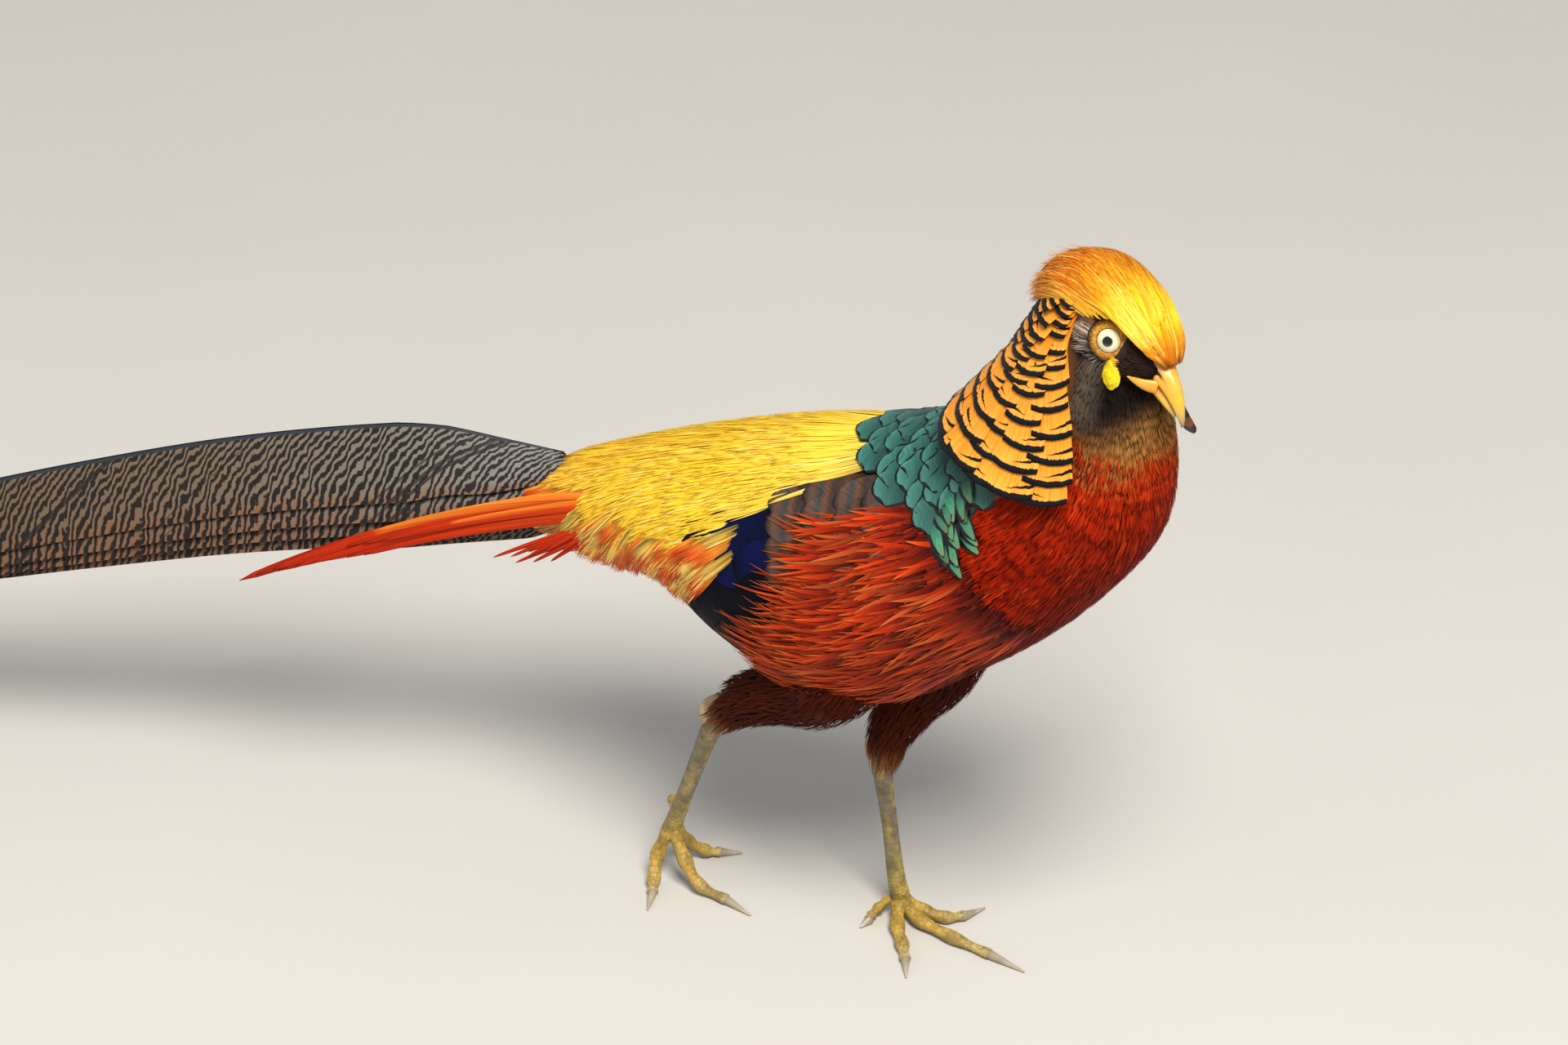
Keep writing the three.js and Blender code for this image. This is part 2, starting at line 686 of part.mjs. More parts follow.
function onSide(side, sheet) {
  const [left, right] = side > 0 ? [sheet.left, sheet.right] : [-sheet.right, -sheet.left];
  return { ...sheet, left, right };
}
function wingCover(side) {
  const sheet = { from: 0.6, to: MANTLE_END + EDGE, left: SIDE, right: FLANK + SEAM, low: -4, high: 5.6 };
  return onTrunk(onSide(side, sheet));
}
function wingNode(side) {
  const sheet = { from: 2, to: MANTLE_END - EDGE, left: SIDE, right: FLANK, low: GAP, high: 1.8 };
  return joined([onTrunk(onSide(side, sheet)), ...wingFeathers(side)]);
}

// Scarlet lances of the flank, which lie over the wing.
function flankLances(side) {
  const lances = [];
  const rows = [
    { place: 6.9, first: 104, last: 150, count: 4, slant: 0.1 },
    { place: 5.8, first: 124, last: 150, count: 3, slant: 0.35 },
    { place: 4.7, first: 126, last: 150, count: 3, slant: 0.45 },
  ];
  rows.forEach(({ place, first, last, count, slant }) => {
    for (let i = 0; i < count; i += 1) {
      const angle = first + ((last - first) * (i + 0.5)) / count;
      lances.push(
        laidVane(TRUNK, {
          place: place + vary(0.1),
          angle: side * angle * TURN,
          slant: -side * (slant + vary(0.06)),
          length: 44 + vary(5),
          width: 11,
          low: 1.6,
          high: 6.8,
          over: flankOverWing,
        }, LANCE, 1.1),
      );
    }
  });
  return lances;
}
function flankNode(side, thighGrown) {
  const sheet = { from: 3.5, to: 7.5, left: 90.5 * TURN, right: 150 * TURN, low: GAP, high: 2.6 };
  const core = onTrunk(onSide(side, sheet));
  const shape = joined([core.subtract(wingCover(side)), ...flankLances(side)]);
  return cleared(shape, [mantleSkirt, wingCover(side), thighGrown]);
}

// Legs: each from the feathered thigh to the shank, the toes and their claws.
const LEGS = {
  right: {
    side: -1,
    thigh: [[7, -24, 163], [-14, -26, 135], [-38, -23, 121], [-60, -18, 106], [-73, -16, 92]],
    thighR: [[17, 21], [18, 18], [13, 13.5], [9.5, 11], [5.6, 7]],
    shank: [[-73, -16, 94], [-78, -16, 82], [-87, -16, 56], [-95, -15.5, 33], [-98, -15, 25]],
    toes: {
      outer: [[-98, -17, 25], [-102, -20, 13], [-100, -27, 4.3], [-97, -33, 2.3], [-93, -44, 0.8]],
      middle: [[-96, -16, 25], [-88, -20, 14], [-80, -21, 4.3], [-66, -22, 2.3], [-52, -25, 0.8]],
      inner: [[-97, -13, 25], [-97, -3, 11], [-92, 4, 3.5], [-87, 8, 2.1], [-79, 14, 0.8]],
      hind: [[-97, -12, 30], [-101, -7, 32], [-104, -3, 31], [-106, -1, 29], [-108, 2, 25]],
    },
  },
  left: {
    side: 1,
    thigh: [[27, 22, 166], [14, 20, 128], [4, 16, 109], [-4, 12, 92], [-6, 10, 78]],
    thighR: [[18, 22], [16, 18], [12, 13], [9, 10], [5.6, 7]],
    shank: [[-7, 10, 82], [-6, 10, 70], [-3, 11, 45], [0, 11.5, 19], [2, 12, 8]],
    toes: {
      outer: [[3, 12, 7], [14, 12, 3.9], [24, 14, 2.7], [30, 20, 2.1], [34, 31, 0.8]],
      middle: [[5, 9, 7], [16, 5, 3.9], [34, 2, 2.9], [53, 0, 2.3], [71, -2, 0.8]],
      inner: [[4, 7, 7], [9, -3, 3.7], [17, -13, 2.7], [23, -21, 2.1], [29, -31, 0.8]],
      hind: [[-1, 8, 8], [-4, 3, 4.3], [-5, -1, 2.7], [-5, -4, 1.9], [-6, -9, 1]],
    },
  },
};
const toVectors = (rows) => rows.map((row) => new THREE.Vector3(...row));
const SHANK_R = [[4.6, 5.2], [3.9, 4.4], [3.2, 3.6], [3.9, 3.9], [4.8, 4.2]];
const SLAB = 400;
const floorSlab = solidOf(
  new THREE.BoxGeometry(SLAB * 2, SLAB * 2, SLAB).translate(0, 0, -SLAB / 2),
);
const grownBy = (sizes, more) => sizes.map(([wide, tall]) => [wide + more, tall + more]);
const thighSolid = (leg, more = 0) =>
  limb(toVectors(leg.thigh), grownBy(leg.thighR, more), 12, 7);
const shankSolid = (leg, more = 0) =>
  limb(toVectors(leg.shank), grownBy(SHANK_R, more), 10, 8);

function addLeg(word) {
  const leg = LEGS[word];
  const thighGrown = thighSolid(leg, GAP);
  addNode('flank_' + word, flankNode(leg.side, thighGrown), 'scarlet');
  const shankGrown = shankSolid(leg, GAP);
  addNode('thigh_' + word, thighSolid(leg).subtract(torsoGrown), 'chestnut');
  addNode('shank_' + word, cleared(shankSolid(leg), [thighGrown]), 'shank');
  const before = [shankGrown, floorSlab];
  Object.entries(leg.toes).forEach(([toe, rows]) => {
    const points = toVectors(rows);
    const big = toe === 'hind' ? 0.72 : 1;
    const radii = [3.5, 3.4, 3.4, 2.9].map((r) => [r * big, r * big * 0.95]);
    const toePoints = points.slice(0, 4);
    const made = limb(toePoints, radii, 8, 7);
    const claw = limb(
      [toePoints[3].clone().lerp(toePoints[2], 0.25), toePoints[3], points[4]],
      [[1.9, 2], [1.9, 2], [0.5, 0.5]],
      6,
      4,
    );
    addNode('toe_' + toe + '_' + word, cleared(made, before), 'shank');
    const toeGrown = limb(toePoints, grownBy(radii, GAP), 8, 7);
    addNode('claw_' + toe + '_' + word, cleared(claw, [toeGrown, floorSlab]), 'claw');
    before.push(toeGrown);
  });
}

[['left', 1], ['right', -1]].forEach(([word, side]) => {
  addNode('wing_' + word, wingNode(side), 'blue');
  addNode('tail_coverts_' + word, covertNode(side), 'scarlet');
  addLeg(word);
});

bird.updateMatrixWorld(true);
export default bird;
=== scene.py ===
# %% [markdown]
# # A cock golden pheasant in Blender
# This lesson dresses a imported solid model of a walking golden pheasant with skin, feathers, eyes, a
# bill and scaled legs. The solids are the frame: they fix where everything is. Each piece is worked
# out with numpy in the bird's own frame in millimetres, and is then moved to the frame of the
# solids in metres.

# %% Load the frame
import math
import bpy
import numpy as np
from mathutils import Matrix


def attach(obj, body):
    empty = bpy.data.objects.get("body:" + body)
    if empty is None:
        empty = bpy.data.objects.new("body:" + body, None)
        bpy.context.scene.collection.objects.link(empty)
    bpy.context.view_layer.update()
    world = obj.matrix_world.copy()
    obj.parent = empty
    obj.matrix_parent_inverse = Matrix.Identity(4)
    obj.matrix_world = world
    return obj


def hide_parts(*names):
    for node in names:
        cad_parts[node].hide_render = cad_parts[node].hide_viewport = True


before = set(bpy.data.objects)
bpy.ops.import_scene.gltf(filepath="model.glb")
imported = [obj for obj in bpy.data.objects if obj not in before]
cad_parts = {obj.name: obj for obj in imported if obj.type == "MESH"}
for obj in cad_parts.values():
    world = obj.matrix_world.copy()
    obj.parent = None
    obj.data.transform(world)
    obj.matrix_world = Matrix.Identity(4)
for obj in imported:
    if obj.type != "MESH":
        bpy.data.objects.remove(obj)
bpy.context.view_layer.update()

# %% [markdown]
# ## Forms that feathers can be laid on by number
# A bird's body is a bent barrel. It could be sculpted, but then nothing could be laid on it by
# number. Here it is a table of sections instead: the top and the bottom of each section, its half
# width, and how far it turns. A point is found from a place along the body, an angle round it and a
# height over it, and every feather is laid with these same three numbers. A leg is a tube round a
# path, and is read with the same three.

# %% Sections and places
MM = 0.001
ORIGIN = np.array([-309.4, -67.6, 0.0])  # middle of the box of the solids, in the bird's frame
rng = np.random.default_rng(11)


def to_row(points):
    """From the bird's frame in millimetres to the frame of the solids in metres."""
    return (points - ORIGIN) * MM


def rows_at(table, place):
    """A smooth curve through the rows of a table (uniform Catmull-Rom), straight past its ends."""
    place = np.asarray(place, float)
    rows = np.vstack([2 * table[0] - table[1], table, 2 * table[-1] - table[-2]])
    i = np.clip(np.floor(place), 0, len(table) - 2).astype(int)
    u = np.clip(place - i, 0, 1)[..., None]
    past = (place - i)[..., None] - u
    a, b, c, d = (rows[i + k] for k in range(4))
    bend = (2 * a - 5 * b + 4 * c - d) * u**2 + (3 * b - a - 3 * c + d) * u**3
    return b + 0.5 * ((c - a) * u + bend) + (c - b) * past


def on_form(table, place, angle, height):
    """A point height over the form: its section is an ellipse whose upper and lower halves differ.
    The angle is in degrees from the back, positive towards the bird's left."""
    place, angle, height = np.broadcast_arrays(place, angle, height)
    back_x, back_z, low_x, low_z, half, waist, heading, side = np.moveaxis(
        rows_at(table, place), -1, 0)
    turn, round_ = np.radians(heading), np.radians(angle)
    tall = np.hypot(back_x - low_x, back_z - low_z)
    over = np.where(np.cos(round_) >= 0, tall * (1 - waist), tall * waist)
    rise = (over + height) * np.cos(round_) / tall
    across = (half + height) * np.sin(round_)
    forward = (back_x - low_x) * rise
    x = low_x + (back_x - low_x) * waist + forward * np.cos(turn) - across * np.sin(turn)
    y = side + forward * np.sin(turn) + across * np.cos(turn)
    z = low_z + (back_z - low_z) * (waist + rise)
    return np.stack([x, y, z], -1)


def unit(vectors):
    """Vectors of length one."""
    return vectors / np.linalg.norm(vectors, axis=-1, keepdims=True)


def from_back(angle):
    """Degrees from the middle of the back, either way round: 0 to 180."""
    return np.abs((angle + 180) % 360 - 180)


def turned(turn, nod, tilt):
    """A rotation: first a tilt about X, then a nod about Y, then a turn about Z."""
    (ct, st), (cn, sn), (cx, sx) = (
        (math.cos(math.radians(v)), math.sin(math.radians(v))) for v in (turn, nod, tilt))
    about_z = np.array([[ct, -st, 0], [st, ct, 0], [0, 0, 1]])
    about_y = np.array([[cn, 0, sn], [0, 1, 0], [-sn, 0, cn]])
    about_x = np.array([[1, 0, 0], [0, cx, -sx], [0, sx, cx]])
    return about_z @ about_y @ about_x


HEAD_AT = np.array([111.0, -6.0, 329.0])
HEAD_TURN = turned(-24, 15, -4)


def from_head(points):
    """From the head's own frame to the bird's frame."""
    return points @ HEAD_TURN.T + HEAD_AT


def form(rows, head=False):
    """The place, angle and height of one table as a function of its own."""
    table = np.array(rows, float)

    def at(place, angle, height=0.0):
        """The point of this table's form, brought to the bird's frame where it is the head's."""
        points = on_form(table, place, angle, height)
        return from_head(points) if head else points
    return at


def tube(points, radii, lean=(0, 1, 0)):
    """A form round a smooth path: its side vector is the lean made square to the path, its up
    vector is square to both, and its section is an ellipse of half width and half height."""
    path, sizes, lean = (np.array(v, float) for v in (points, radii, lean))

    def at(place, angle, height=0.0):
        """The path's point plus the side and up vectors times the sine and cosine of the angle."""
        place, angle, height = np.broadcast_arrays(place, angle, height)
        ahead = unit(rows_at(path, place + 0.02) - rows_at(path, place - 0.02))
        side = unit(lean - ahead * (ahead @ lean)[..., None])
        up = np.cross(ahead, side)
        half, turn = rows_at(sizes, place), np.radians(angle)
        return (rows_at(path, place) + side * ((half[..., 0] + height) * np.sin(turn))[..., None]
                + up * ((half[..., 1] + height) * np.cos(turn))[..., None])
    return at


def step_sizes(at, place, angle):
    """Millimetres for one place along a form, and for one degree round it."""
    along = np.linalg.norm(at(place + 0.05, angle) - at(place - 0.05, angle), axis=-1) * 10
    around = np.linalg.norm(at(place, angle + 1.5) - at(place, angle - 1.5), axis=-1) / 3
    return along, around


print("one turn of the head's axes", HEAD_TURN.round(2).tolist())

# %% [markdown]
# ## The bird's own sections
# Trunk, cape, skull, crest and bill each have a table. The solids are made from the same tables, so
# every feather lies on its solid. One table for the whole bird could not turn the head, so the
# head's tables are in its own frame, which turns and nods as one.

# %% Tables of sections
# Each row: back x, back z, lower x, lower z, half width, share of the height that lies below the
# widest line, heading in degrees, shift to the left.
trunk = form([
    [-158, 190, -156, 162, 13, 0.5, 15, -11],
    [-141, 199, -137, 155, 22, 0.5, 12, -7],
    [-106, 214, -95.5, 154.5, 34, 0.48, 6, -2],
    [-72, 228, -57.2, 135, 45, 0.47, 1, 0],
    [-41, 240, -21, 124, 51, 0.46, 0, 0],
    [-12, 249, 18.5, 132, 53, 0.46, -1, 0],
    [14, 258, 49.5, 154, 52, 0.47, -3, 0],
    [37, 265, 79.8, 180, 48, 0.48, -6, -1],
    [55, 272, 105.4, 209, 42, 0.5, -9, -2],
    [68, 282, 125.2, 239.5, 34, 0.5, -12, -3],
    [79, 295, 130.7, 268.1, 26, 0.5, -15, -4],
    [88, 310, 128.5, 296, 20, 0.5, -18, -5],
    [94, 324, 126, 318, 15, 0.5, -20, -6],
])
cape_form = form([
    [18, 262, 124, 232, 58, 0.5, -8, 0],
    [34, 280, 134, 256, 48, 0.5, -10, -1],
    [49, 300, 138, 280, 38, 0.5, -13, -3],
    [62, 318, 134, 304, 29, 0.5, -16, -4],
    [73, 333, 128, 322, 22, 0.5, -18, -5],
    [82, 346, 122, 338, 17, 0.5, -20, -6],
])
skull = form([
    [-27, 3, -25, -5, 4, 0.5, 0, 0],
    [-23, 10, -20, -11, 11, 0.5, 0, 0],
    [-12, 15, -10, -15, 15, 0.5, 0, 0],
    [0, 16, 1, -16, 15.5, 0.5, 0, 0],
    [11, 14, 11, -14, 13.5, 0.5, 0, 0],
    [19, 11, 18, -10, 9.5, 0.5, 0, 0],
    [25, 8, 24, -6, 5.5, 0.5, 0, 0],
], head=True)
crest_form = form([
    [-52, -11, -44, -16, 5, 0.4, 0, 0],
    [-45, 9.5, -32, -8, 15, 0.4, 0, 0],
    [-27.5, 24.2, -20, 0, 19, 0.35, 0, 0],
    [-8, 26, -5, 5, 19, 0.3, 0, 0],
    [9, 22, 7, 8, 17, 0.3, 0, 0],
    [21.5, 16.5, 17, 9, 13, 0.3, 0, 0],
    [27.5, 11, 24, 8.5, 7, 0.4, 0, 0],
], head=True)
upper_bill = form([
    [16, 9.5, 16, 1, 6, 0.3, 0, 0],
    [22, 9, 21, -0.5, 5.4, 0.3, 0, 0],
    [29, 6.5, 28, -2.5, 4.2, 0.3, 0, 0],
    [36, 1, 34.5, -5.5, 2.9, 0.35, 0, 0],
    [41, -6.5, 39, -9.5, 1.3, 0.4, 0, 0],
    [42.5, -11, 41.5, -11.6, 0.4, 0.5, 0, 0],
], head=True)
lower_bill = form([
    [13, 0.2, 13, -6, 5.6, 0.6, 0, 0],
    [20, -1, 20, -7, 4.6, 0.6, 0, 0],
    [27, -3, 26, -8.4, 3.6, 0.6, 0, 0],
    [33, -5.8, 32, -9.6, 2.4, 0.6, 0, 0],
    [37.5, -9, 36.5, -10.6, 1, 0.6, 0, 0],
], head=True)
print("withers at", trunk(7, 0).round(0), "nape at", trunk(11, 0).round(0))

# %% [markdown]
# ## Colour as a number at each point
# A feather's colour changes from its root to its tip, and from tract to tract. An image could carry
# that, but here the pigment is worked out for each point from where it lies on the bird, and is kept
# in the mesh. The shader reads it and adds what is finer than the mesh: barbs, bars and rims. The
# hex values are mostly those of the feathers themselves, without the sun on them, but in places
# they also hold painted shade and painted highlights.

# %% Pigments


def linear(code, alpha=1.0):
    """An sRGB hex colour as linear values: the sRGB curve undone for each channel."""
    raw = [int(code[i:i + 2], 16) / 255 for i in (1, 3, 5)]
    return tuple(v / 12.92 if v <= 0.04045 else ((v + 0.055) / 1.055) ** 2.4 for v in raw) + (alpha,)


def run_of(stops, share):
    """Linear colours between hex stops: each channel is interpolated over the marks."""
    marks, codes = zip(*stops)
    shades = np.array([linear(code)[:3] for code in codes])
    return np.stack([np.interp(share, marks, shades[:, i]) for i in range(3)], -1)


def over(first, second, share):
    """The second colour laid over the first by a share between 0 and 1."""
    second = np.array(linear(second)[:3]) if isinstance(second, str) else second
    share = np.clip(share, 0, 1)[..., None]
    return first * (1 - share) + second * share


def near(value, first, last, soft):
    """One between two marks and zero outside, with soft straight edges."""
    return np.clip((value - first) / soft + 0.5, 0, 1) * np.clip((last - value) / soft + 0.5, 0, 1)


def body_pigment(place, angle):
    """The colour of the trunk: scarlet below, browner at the throat and under the tail, yellow on
    the rump and green over the shoulders. Each tract is laid over the last with soft edges. The
    underside is darkened as painted shade, and the band where the wing lies is near-black: the
    wing's own black, which also paints shade under the flank lances."""
    low = from_back(angle)
    color = run_of([(2, "#701504"), (5, "#881802"), (7, "#961A01"), (9, "#981C01"), (10.6, "#A02404")],
                   place)
    # Painted shade: the scarlet is darker on the underside.
    color = over(color, "#6A1403", near(low, 138, 400, 40) * near(place, -5, 8.2, 2.5))
    color = over(color, "#1C0C08", near(place, -5, 3.6, 1.2) * near(low, 92, 400, 14))
    color = over(color, "#8F6424", near(place, 10.7, 99, 0.5) * near(low, 70, 400, 10))
    color = over(color, "#2E2118", near(place, 11.75, 99, 0.5))
    # Near-black where the wing lies: the wing's own black, and painted shade in the gaps under the flank
    # lances.
    color = over(color, "#16131A", near(place, 2.2, 6.4, 0.6) * near(low, 44, 98, 8))
    color = over(color, "#C79A1E", near(place, -5, 5.4, 0.6) * near(low, -9, 46, 10))
    return over(color, "#143A33", near(place, 5.4, 8.6, 0.4) * near(low, -9, 56, 8))


print("scarlet at the breast", body_pigment(np.array(9.0), np.array(180.0)).round(3))

# %% [markdown]
# ## Materials: pigment, barbs and gloss
# A feather is keratin. Its colour is pigment, or a thin film in the green and blue ones, and its
# fine oblique lines are the barbs, a third of a millimetre apart. An image would blur close up. A
# procedural pattern stays sharp and follows each feather's own coordinates. Its lengths are shares
# of a feather's length and width, so it grows with the feather. One function adds a node.

# %% Node helper and feather coordinates


def add(tree, kind, inputs=(), out=0, stops=None, **settings):
    """Adds one node, sets its properties and colour stops, fills or links its inputs, which are
    given in order or by name, and gives back one of its outputs."""
    node = tree.nodes.new("ShaderNode" + kind)
    for key, value in settings.items():
        setattr(node, key, value)
    for key, value in inputs.items() if isinstance(inputs, dict) else enumerate(inputs):
        if isinstance(value, bpy.types.NodeSocket):
            tree.links.new(value, node.inputs[key])
        else:
            node.inputs[key].default_value = linear(value) if isinstance(value, str) else value
    for i, (mark, shade) in enumerate(stops or ()):
        point = node.color_ramp.elements.new(mark) if i > 1 else node.color_ramp.elements[i]
        point.position = mark
        point.color = linear(shade) if isinstance(shade, str) else (shade, shade, shade, 1)
    return node.outputs[out] if node.outputs else node


def new_finish(name):
    """An empty material and its node tree."""
    finish = bpy.data.materials.new(name)
    finish.use_nodes = True
    finish.node_tree.nodes.clear()
    return finish, finish.node_tree


def close_finish(tree, color, bump=None, depth=0.0, **shader):
    """Ends a tree with the shader. Numbers given here are set on the shader's own sockets."""
    inputs = {key.replace("_", " "): value for key, value in shader.items()}
    inputs["Base Color"] = color
    if bump is not None:
        inputs["Normal"] = add(tree, "Bump", {"Height": bump, "Strength": 1.0, "Distance": depth * MM})
    add(tree, "OutputMaterial", {"Surface": add(tree, "BsdfPrincipled", inputs)})


def vane_parts(tree):
    """Across (0 to 1, the shaft at 0.5), along (0 at the root, 1 at the tip), tone and pigment."""
    place = add(tree, "UVMap", uv_map="Vane")
    across = add(tree, "SeparateXYZ", (place,), out=0)
    along = add(tree, "SeparateXYZ", (place,), out=1)
    tone = add(tree, "Attribute", attribute_name="tone", out=2)
    pigment = add(tree, "Attribute", attribute_name="pigment", out=0)
    return across, along, tone, pigment


def barbs(tree, across, along, tone, count, slope):
    """Streaks that leave the shaft obliquely: noise stretched along lines of equal along minus
    slope times the distance from the shaft."""
    out = add(tree, "Math", (across, 0.5), operation="SUBTRACT")
    out = add(tree, "Math", (out,), operation="ABSOLUTE")
    line = add(tree, "Math", (out, -slope, along), operation="MULTIPLY_ADD")
    line = add(tree, "Math", (line, count), operation="MULTIPLY")
    seed = add(tree, "Math", (tone, 40.0), operation="MULTIPLY")
    spot = add(tree, "CombineXYZ", (line, out, seed))
    return add(tree, "TexNoise", {"Vector": spot, "Scale": 1.0, "Detail": 2.0})


def shaded(tree, pigment, noise, first, last, dark, light):
    """Pigment times a grey that runs from dark to light while the noise runs from first to last."""
    shade = add(tree, "MapRange", {"Value": noise, 1: first, 2: last, 3: dark, 4: light})
    shade = add(tree, "CombineColor", (shade, shade, shade))
    return add(tree, "Mix", {0: 1.0, 6: pigment, 7: shade}, out=2, data_type="RGBA",
               blend_type="MULTIPLY")


def rim(tree, across, along, side_width, tip_width):
    """One at the edge of a vane and nought inside: how far the sides or the tip are passed."""
    out = add(tree, "Math", (across, 0.5), operation="SUBTRACT")
    out = add(tree, "Math", (out,), operation="ABSOLUTE")
    out = add(tree, "Math", (out, 0.5 - side_width), operation="SUBTRACT")
    tip = add(tree, "Math", (along, 1 - tip_width), operation="SUBTRACT")
    edge = add(tree, "Math", (out, tip), operation="MAXIMUM")
    return add(tree, "Math", (edge, 40.0), operation="MULTIPLY", use_clamp=True)


print("a grey of #808080 is linear", round(linear("#808080")[0], 3))


# %% [markdown]
# ## Plumage finishes
# Most tracts differ only in pigment, gloss and how coarse their barbs look, so one function makes
# them. Streaks are drawn about a millimetre wide, coarser than true barbs, so that they show.

# %% Plain plumes


def plume(name, rough=0.55, gloss=0.1, count=24.0, slope=0.6, dark=0.5, depth=0.08):
    """A feather of its own pigment with streaks for barbs. Noise along the barbs darkens it by the
    share dark at most, and lightens it by less than half of that."""
    finish, tree = new_finish(name)
    across, along, tone, pigment = vane_parts(tree)
    lines = barbs(tree, across, along, tone, count, slope)
    color = shaded(tree, pigment, lines, 0.35, 0.65, 1.0 - dark, 1.0 + dark * 0.4)
    close_finish(tree, color, lines, depth, Roughness=rough, Specular_IOR_Level=gloss)
    return finish


crest_silk = plume("crest_silk", rough=0.5, gloss=0.2, dark=0.3, depth=0.03)
rump_silk = plume("rump_hackle_silk", gloss=0.18, dark=0.18, depth=0.02)
scarlet_plume = plume("scarlet_feather_keratin", rough=0.65, gloss=0.06, dark=0.25, depth=0.02)
lance_plume = plume("flank_lance_keratin", dark=0.35, count=16.0, slope=1.0)
wing_plume = plume("wing_feather_keratin", gloss=0.06, dark=0.35, count=60.0, slope=0.5)
down_plume = plume("brown_down_keratin", rough=0.8, gloss=0.05, dark=0.2, depth=0.02)
print("plain plumes", len(bpy.data.materials))

# %% [markdown]
# ## The cape's bars
# A cape feather is amber, with a blue-black bar about 2 mm deep at its square end. A second, thinner
# bar starts at one edge some 5 mm before the end, runs towards the first and dies out on the way.
# Both have ragged inner edges, where barbs of two colours lie side by side. A band drawn at a fixed
# share of the length would look printed, so noise along the barbs shifts it on each feather.

# %% Barred cape finish
END_BAR = 0.915                     # share of the length past which all is black
WEDGE_FROM, WEDGE_RUN = 0.775, 0.15  # where the second bar starts, and how far it runs on
WEDGE_DEPTH, WEDGE_LOSS = 0.042, 0.062


def cape_plume():
    """Two bars: the end bar is all that lies past its mark. The wedge's middle line runs from one
    edge towards the end bar, and its thickness falls to nothing on the way."""
    finish, tree = new_finish("cape_feather_keratin")
    across, along, tone, pigment = vane_parts(tree)
    seed = add(tree, "Math", (tone, 50.0), operation="MULTIPLY")
    wide = add(tree, "Math", (across, 15.0), operation="MULTIPLY")
    spot = add(tree, "CombineXYZ", (wide, along, seed))
    fine = add(tree, "TexNoise", {"Vector": spot, "Scale": 1.6, "Detail": 3.0})
    streak = add(tree, "MapRange", {"Value": fine, 1: 0.42, 2: 0.68, 3: 0.0, 4: 0.55})
    color = add(tree, "Mix", {0: streak, 6: pigment, 7: "#CF6A14"}, out=2, data_type="RGBA")
    level = add(tree, "Math", (fine, 0.05, along), operation="MULTIPLY_ADD")
    last = add(tree, "Math", (level, END_BAR), operation="SUBTRACT")
    last = add(tree, "Math", (last, 90.0), operation="MULTIPLY", use_clamp=True)
    side = add(tree, "Math", (tone, 0.5), operation="GREATER_THAN")
    run = add(tree, "Math", (across, side), operation="SUBTRACT")
    run = add(tree, "Math", (run,), operation="ABSOLUTE")
    middle = add(tree, "Math", (run, WEDGE_RUN, WEDGE_FROM), operation="MULTIPLY_ADD")
    thick = add(tree, "Math", (run, -WEDGE_LOSS, WEDGE_DEPTH), operation="MULTIPLY_ADD")
    apart = add(tree, "Math", (level, middle), operation="SUBTRACT")
    apart = add(tree, "Math", (apart,), operation="ABSOLUTE")
    inner = add(tree, "Math", (thick, apart), operation="SUBTRACT")
    inner = add(tree, "Math", (inner, 110.0), operation="MULTIPLY", use_clamp=True)
    ink = add(tree, "Math", (last, inner), operation="MAXIMUM")
    color = add(tree, "Mix", {0: ink, 6: color, 7: "#070A12"}, out=2, data_type="RGBA")
    close_finish(tree, color, fine, 0.1, Roughness=0.5, Specular_IOR_Level=0.22)
    return finish


cape_finish = cape_plume()
print("cape finish", len(cape_finish.node_tree.nodes), "nodes")

# %% [markdown]
# ## The mantle's scales
# The mantle's feathers are rounded and lie like scales. Their green is a thin film's, which gives
# them a soft gloss, and each has a velvet-black rim about a millimetre wide. The rim could be a line
# round the mesh, but as a share of each feather's width it is dark on every feather alike.

# %% Scaled mantle finish


def scale_plume(name, side_rim, tip_rim):
    """Pigment streaked by its barbs, and a black rim at the sides and the tip."""
    finish, tree = new_finish(name)
    across, along, tone, pigment = vane_parts(tree)
    lines = barbs(tree, across, along, tone, 34.0, 0.7)
    color = shaded(tree, pigment, lines, 0.35, 0.65, 0.72, 1.12)
    edge = rim(tree, across, along, side_rim, tip_rim)
    color = add(tree, "Mix", {0: edge, 6: color, 7: "#04070A"}, out=2, data_type="RGBA")
    close_finish(tree, color, lines, 0.08, Roughness=0.42, Specular_IOR_Level=0.4, Metallic=0.1)
    return finish


mantle_finish = scale_plume("mantle_feather_keratin", 0.07, 0.06)
shoulder_finish = scale_plume("shoulder_feather_keratin", 0.22, 0.05)
print("mantle finish", len(mantle_finish.node_tree.nodes), "nodes")

# %% [markdown]
# ## The tail's bars
# The long tail feathers are buff, crossed by wavy black bars about 4 mm apart that lean back from
# the ridge, and are redder along their lower edge. Their shafts show as a blue-grey line on top.
# Separate bars of mesh would be too many, so a wave along the feather is cut to bars in the shader.

# %% Barred tail finish


